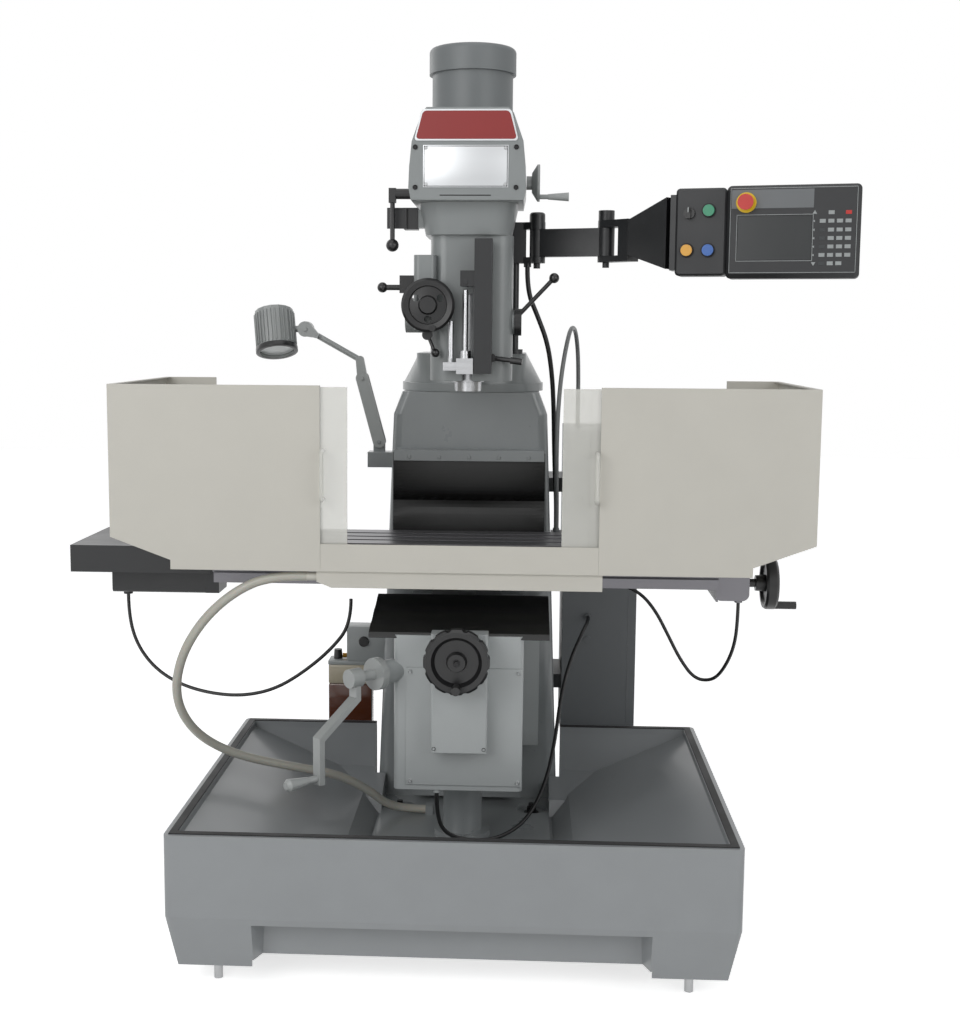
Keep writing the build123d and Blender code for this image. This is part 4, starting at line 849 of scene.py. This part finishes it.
class MILL_OT_pendant(bpy.types.Operator):
    """Puts the screen, the keys and the rings on the pendant"""

    bl_idname = "mill.pendant"
    bl_label = "Pendant Panel"

    along = Vector((0.9751, -0.2215, 0))
    inward = Vector((0.2215, 0.9751, 0))

    def execute(self, context):
        basis = Matrix((self.along, self.inward, Vector((0, 0, 1)))).transposed().to_4x4()
        self.place = Matrix.Translation(mm(514, 178, 0)) @ basis
        key = context.scene.mill_sizes.key_size
        self.sheet("pendant_band", "band_grey", [(136, 331, 1752, 1797)], 4.3)
        self.sheet("pendant_screen", "screen_glass", [(152, 328, 1628, 1734)], 2.6)
        self.outline("pendant_outline", 133, 433, 1597, 1801)
        self.outline("screen_outline", 149, 331, 1625, 1737)
        pale, dark, red = [], [], []
        for row, z in enumerate((1740, 1720, 1699, 1679, 1659, 1639, 1619)):
            for column in range(4):
                x = 346 + 20 * column
                box = (x, x + key, z - 4.5, z + 4.5)
                if row == 0:
                    if column == 3:
                        red.append(box)
                    elif column == 1:
                        pale.append(box)
                elif column == 0 and row in (2, 3, 4, 6):
                    dark.append(box)
                elif not (row == 6 and column == 3):
                    pale.append(box)
        self.sheet("pendant_keys", "pale_key", pale, 4.7)
        self.sheet("pendant_dark_keys", "membrane", dark, 4.7)
        self.sheet("pendant_red_key", "red_plastic", red, 4.7)
        piece("pendant_arrows", self.arrows, "pale_key", "pendant")
        piece("stop_ring", self.ring(171, 1766, 11, 24.5, 3.5, 9.8), "yellow_plastic", "pendant")
        for name, x, z in (("green", 81, 1749), ("amber", 29, 1653), ("blue", 81, 1653)):
            piece(f"bezel_{name}", self.ring(x, z, 14.6, 17.5, -0.5, 2.5), "black_steel", "pendant")
        self.sheet("selector_line", "pale_key", [(31.6, 34.4, 1744, 1756)], 26.5, "selector_knob")
        return {"FINISHED"}

    def sheet(self, name, material, boxes, proud, body="pendant"):
        def build(bm):
            for left, right, low, high in boxes:
                add_block(bm, (left, right), (-proud, -proud + 1), (low, high), frame_matrix=self.place)

        piece(name, build, material, body)

    def outline(self, name, left, right, low, high):
        wide = 1.3
        boxes = [
            (left, right, low, low + wide),
            (left, right, high - wide, high),
            (left, left + wide, low, high),
            (right - wide, right, low, high),
        ]
        self.sheet(name, "pale_key", boxes, 4.6)

    def arrows(self, bm):
        for z in (1720, 1699, 1679, 1659, 1639):
            self.arrow(bm, 333, z, 3.5, pi)
        self.arrow(bm, 334, 1740, 6, pi / 2)
        self.arrow(bm, 334, 1619, 6, -pi / 2)

    def arrow(self, bm, x, z, size, turn):
        corners = [turn, turn + 2 * pi / 3, turn - 2 * pi / 3]
        points = [self.place @ mm(x + size * cos(a), -4.5, z + size * sin(a)) for a in corners]
        bm.faces.new([bm.verts.new(point) for point in points])

    def ring(self, x, z, inner, outer, low, high):
        profile = [(inner, low), (outer, low), (outer, high - 1), (outer - 1, high), (inner, high)]
        origin = self.place @ mm(x, 0, z) / MM
        return lambda bm: add_turning(bm, profile, origin, -self.inward)


class MILL_OT_lamp(bpy.types.Operator):
    """Adds the cooling fins, the front ring and the lens of the work lamp"""

    bl_idname = "mill.lamp"
    bl_label = "Lamp"

    def execute(self, context):
        centre, aim = (-541, 500, 1447), Vector((0.13, -0.35, -0.93)).normalized()
        count = context.scene.mill_sizes.lamp_fins
        place = Matrix.Translation(mm(*centre)) @ turned(aim)

        def fins(bm):
            for index in range(count):
                spun = place @ Matrix.Rotation(2 * pi * index / count, 4, "Z")
                add_block(bm, (52.4, 56.5), (-1.3, 1.3), (-50, 42), 0.5, spun)

        def ring(bm):
            profile = [(47.2, 46), (56.5, 46), (57.5, 48), (57.5, 59), (55.5, 60), (47.2, 60)]
            add_turning(bm, profile, centre, aim)

        def lens(bm):
            start = Vector(centre) + aim * 47.2
            add_rod(bm, start, aim, 46.8, 4, tip=45.5, sides=64)

        piece("lamp_fins", fins, "silver_enamel", "lamp_head")
        piece("lamp_ring", ring, "black_plastic", "lamp_head")
        piece("lamp_lens", lens, "lamp_glass", "lamp_head")
        return {"FINISHED"}


class MILL_OT_fasteners(bpy.types.Operator):
    """Adds the screws, hub bolts and anchor bolts"""

    bl_idname = "mill.fasteners"
    bl_label = "Screws and Bolts"

    def execute(self, context):
        def cover(bm):
            for x in (-113, 141):
                for z in (396, 659):
                    add_socket_screw(bm, (x, -183, z), (0, -1, 0), 4.6, 3.6)

        def small_cover(bm):
            for x in (-54, 62):
                add_socket_screw(bm, (x, -230, 488), (0, -1, 0), 4.4, 2.6)

        def cross_hub(bm):
            add_rod(bm, (0, -280, 706), (0, -1, 0), 17, 15, tip=14)
            add_socket_screw(bm, (0, -295, 706), (0, -1, 0), 8, 4)

        def anchors(bm):
            for x in (-180, 180):
                add_rod(bm, (x, 340, 148), (0, 0, 1), 20, 3)
                add_rod(bm, (x, 340, 151), (0, 0, 1), 14, 14, sides=6)
                add_rod(bm, (x, 340, 165), (0, 0, 1), 8, 10)

        piece("knee_cover_screws", cover, "zinc_steel", "knee")
        piece("knee_plate_screws", small_cover, "black_steel", "knee")
        piece("cross_wheel_hub", cross_hub, "black_steel", "y_wheel")
        piece("anchor_bolts", anchors, "black_steel", "base")
        return {"FINISHED"}


class MILL_OT_stage(bpy.types.Operator):
    """Makes the pale floor, the white surroundings and the studio lights"""

    bl_idname = "mill.stage"
    bl_label = "Stage and Lights"

    def execute(self, context):
        def ground(bm):
            bmesh.ops.create_grid(bm, x_segments=1, y_segments=1, size=14)

        floor = piece("studio_floor", ground, "studio_floor", None)
        tree = floor.active_material.node_tree
        glow = add(tree, "ShaderNodeMath", {0: self.background_rays(tree)}, {1: 0.7}, operation="MULTIPLY")
        tree.links.new(glow.outputs["Value"], tree.nodes["Principled BSDF"].inputs["Emission Strength"])
        self.world(context.scene)
        self.light("key", (-2.4, -3.9, 2.9), (0, 0.1, 0.8), 3.2, 92)
        self.light("fill", (3.2, -3.2, 2.4), (0.1, 0.1, 0.9), 2.6, 44)
        self.light("top", (0.2, -0.6, 4.6), (0, 0.2, 0.9), 3.0, 20)
        self.light("rim", (-2.6, 2.8, 2.8), (0, 0.4, 1.1), 2.0, 16)
        return {"FINISHED"}

    def background_rays(self, tree):
        """1 for rays that show the background: straight on, in gloss or through glass."""
        path = add(tree, "ShaderNodeLightPath")
        kinds = ("Camera", "Glossy", "Transmission")
        direct, gloss, through = (path.outputs[f"Is {kind} Ray"] for kind in kinds)
        either = add(tree, "ShaderNodeMath", {0: direct, 1: gloss}, operation="MAXIMUM")
        every = add(tree, "ShaderNodeMath", {0: either.outputs["Value"], 1: through}, operation="MAXIMUM")
        return every.outputs["Value"]

    def light(self, name, place, aim, size, power):
        data = bpy.data.lights.new(name, "AREA")
        data.energy = power
        data.size = size
        lamp = bpy.data.objects.new(name, data)
        lamp.location = place
        lamp.rotation_euler = (Vector(aim) - Vector(place)).to_track_quat("-Z", "Y").to_euler()
        bpy.context.scene.collection.objects.link(lamp)

    def world(self, scene):
        world = bpy.data.worlds.new("studio")
        world.use_nodes = True
        tree = world.node_tree
        tree.nodes.clear()
        soft = add(tree, "ShaderNodeBackground", values={"Color": linear("#E9ECEF"), "Strength": 0.3})
        white = add(tree, "ShaderNodeBackground", values={"Color": (1, 1, 1, 1), "Strength": 1.0})
        mixed = add(
            tree,
            "ShaderNodeMixShader",
            {0: self.background_rays(tree), 1: soft.outputs["Background"], 2: white.outputs["Background"]},
        )
        add(tree, "ShaderNodeOutputWorld", {"Surface": mixed.outputs["Shader"]})
        scene.world = world
        scene.view_settings.view_transform = "Standard"


class MILL_PT_panel(bpy.types.Panel):
    """Builds the mill step by step"""

    bl_idname = "MILL_PT_panel"
    bl_label = "Knee Mill"
    bl_space_type = "VIEW_3D"
    bl_region_type = "UI"
    bl_category = "Mill"

    def draw(self, context):
        for name in MillColours.__annotations__:
            self.layout.prop(context.scene.mill_colours, name)
        for name in MillSizes.__annotations__:
            self.layout.prop(context.scene.mill_sizes, name)
        for step in STEPS:
            self.layout.operator(step.bl_idname)


STEPS = (
    MILL_OT_camera,
    MILL_OT_cables,
    MILL_OT_way_covers,
    MILL_OT_castings,
    MILL_OT_plates,
    MILL_OT_lubricator,
    MILL_OT_pendant,
    MILL_OT_lamp,
    MILL_OT_fasteners,
    MILL_OT_stage,
)
CLASSES = (MillColours, MillSizes, *STEPS, MILL_PT_panel)


def register():
    for one in CLASSES:
        bpy.utils.register_class(one)
    bpy.types.Scene.mill_colours = PointerProperty(type=MillColours)
    bpy.types.Scene.mill_sizes = PointerProperty(type=MillSizes)


def unregister():
    del bpy.types.Scene.mill_sizes
    del bpy.types.Scene.mill_colours
    for one in reversed(CLASSES):
        bpy.utils.unregister_class(one)


def main():
    register()
    for step in STEPS:
        group, name = step.bl_idname.split(".")
        getattr(getattr(bpy.ops, group), name)()


if __name__ == "__main__":
    main()
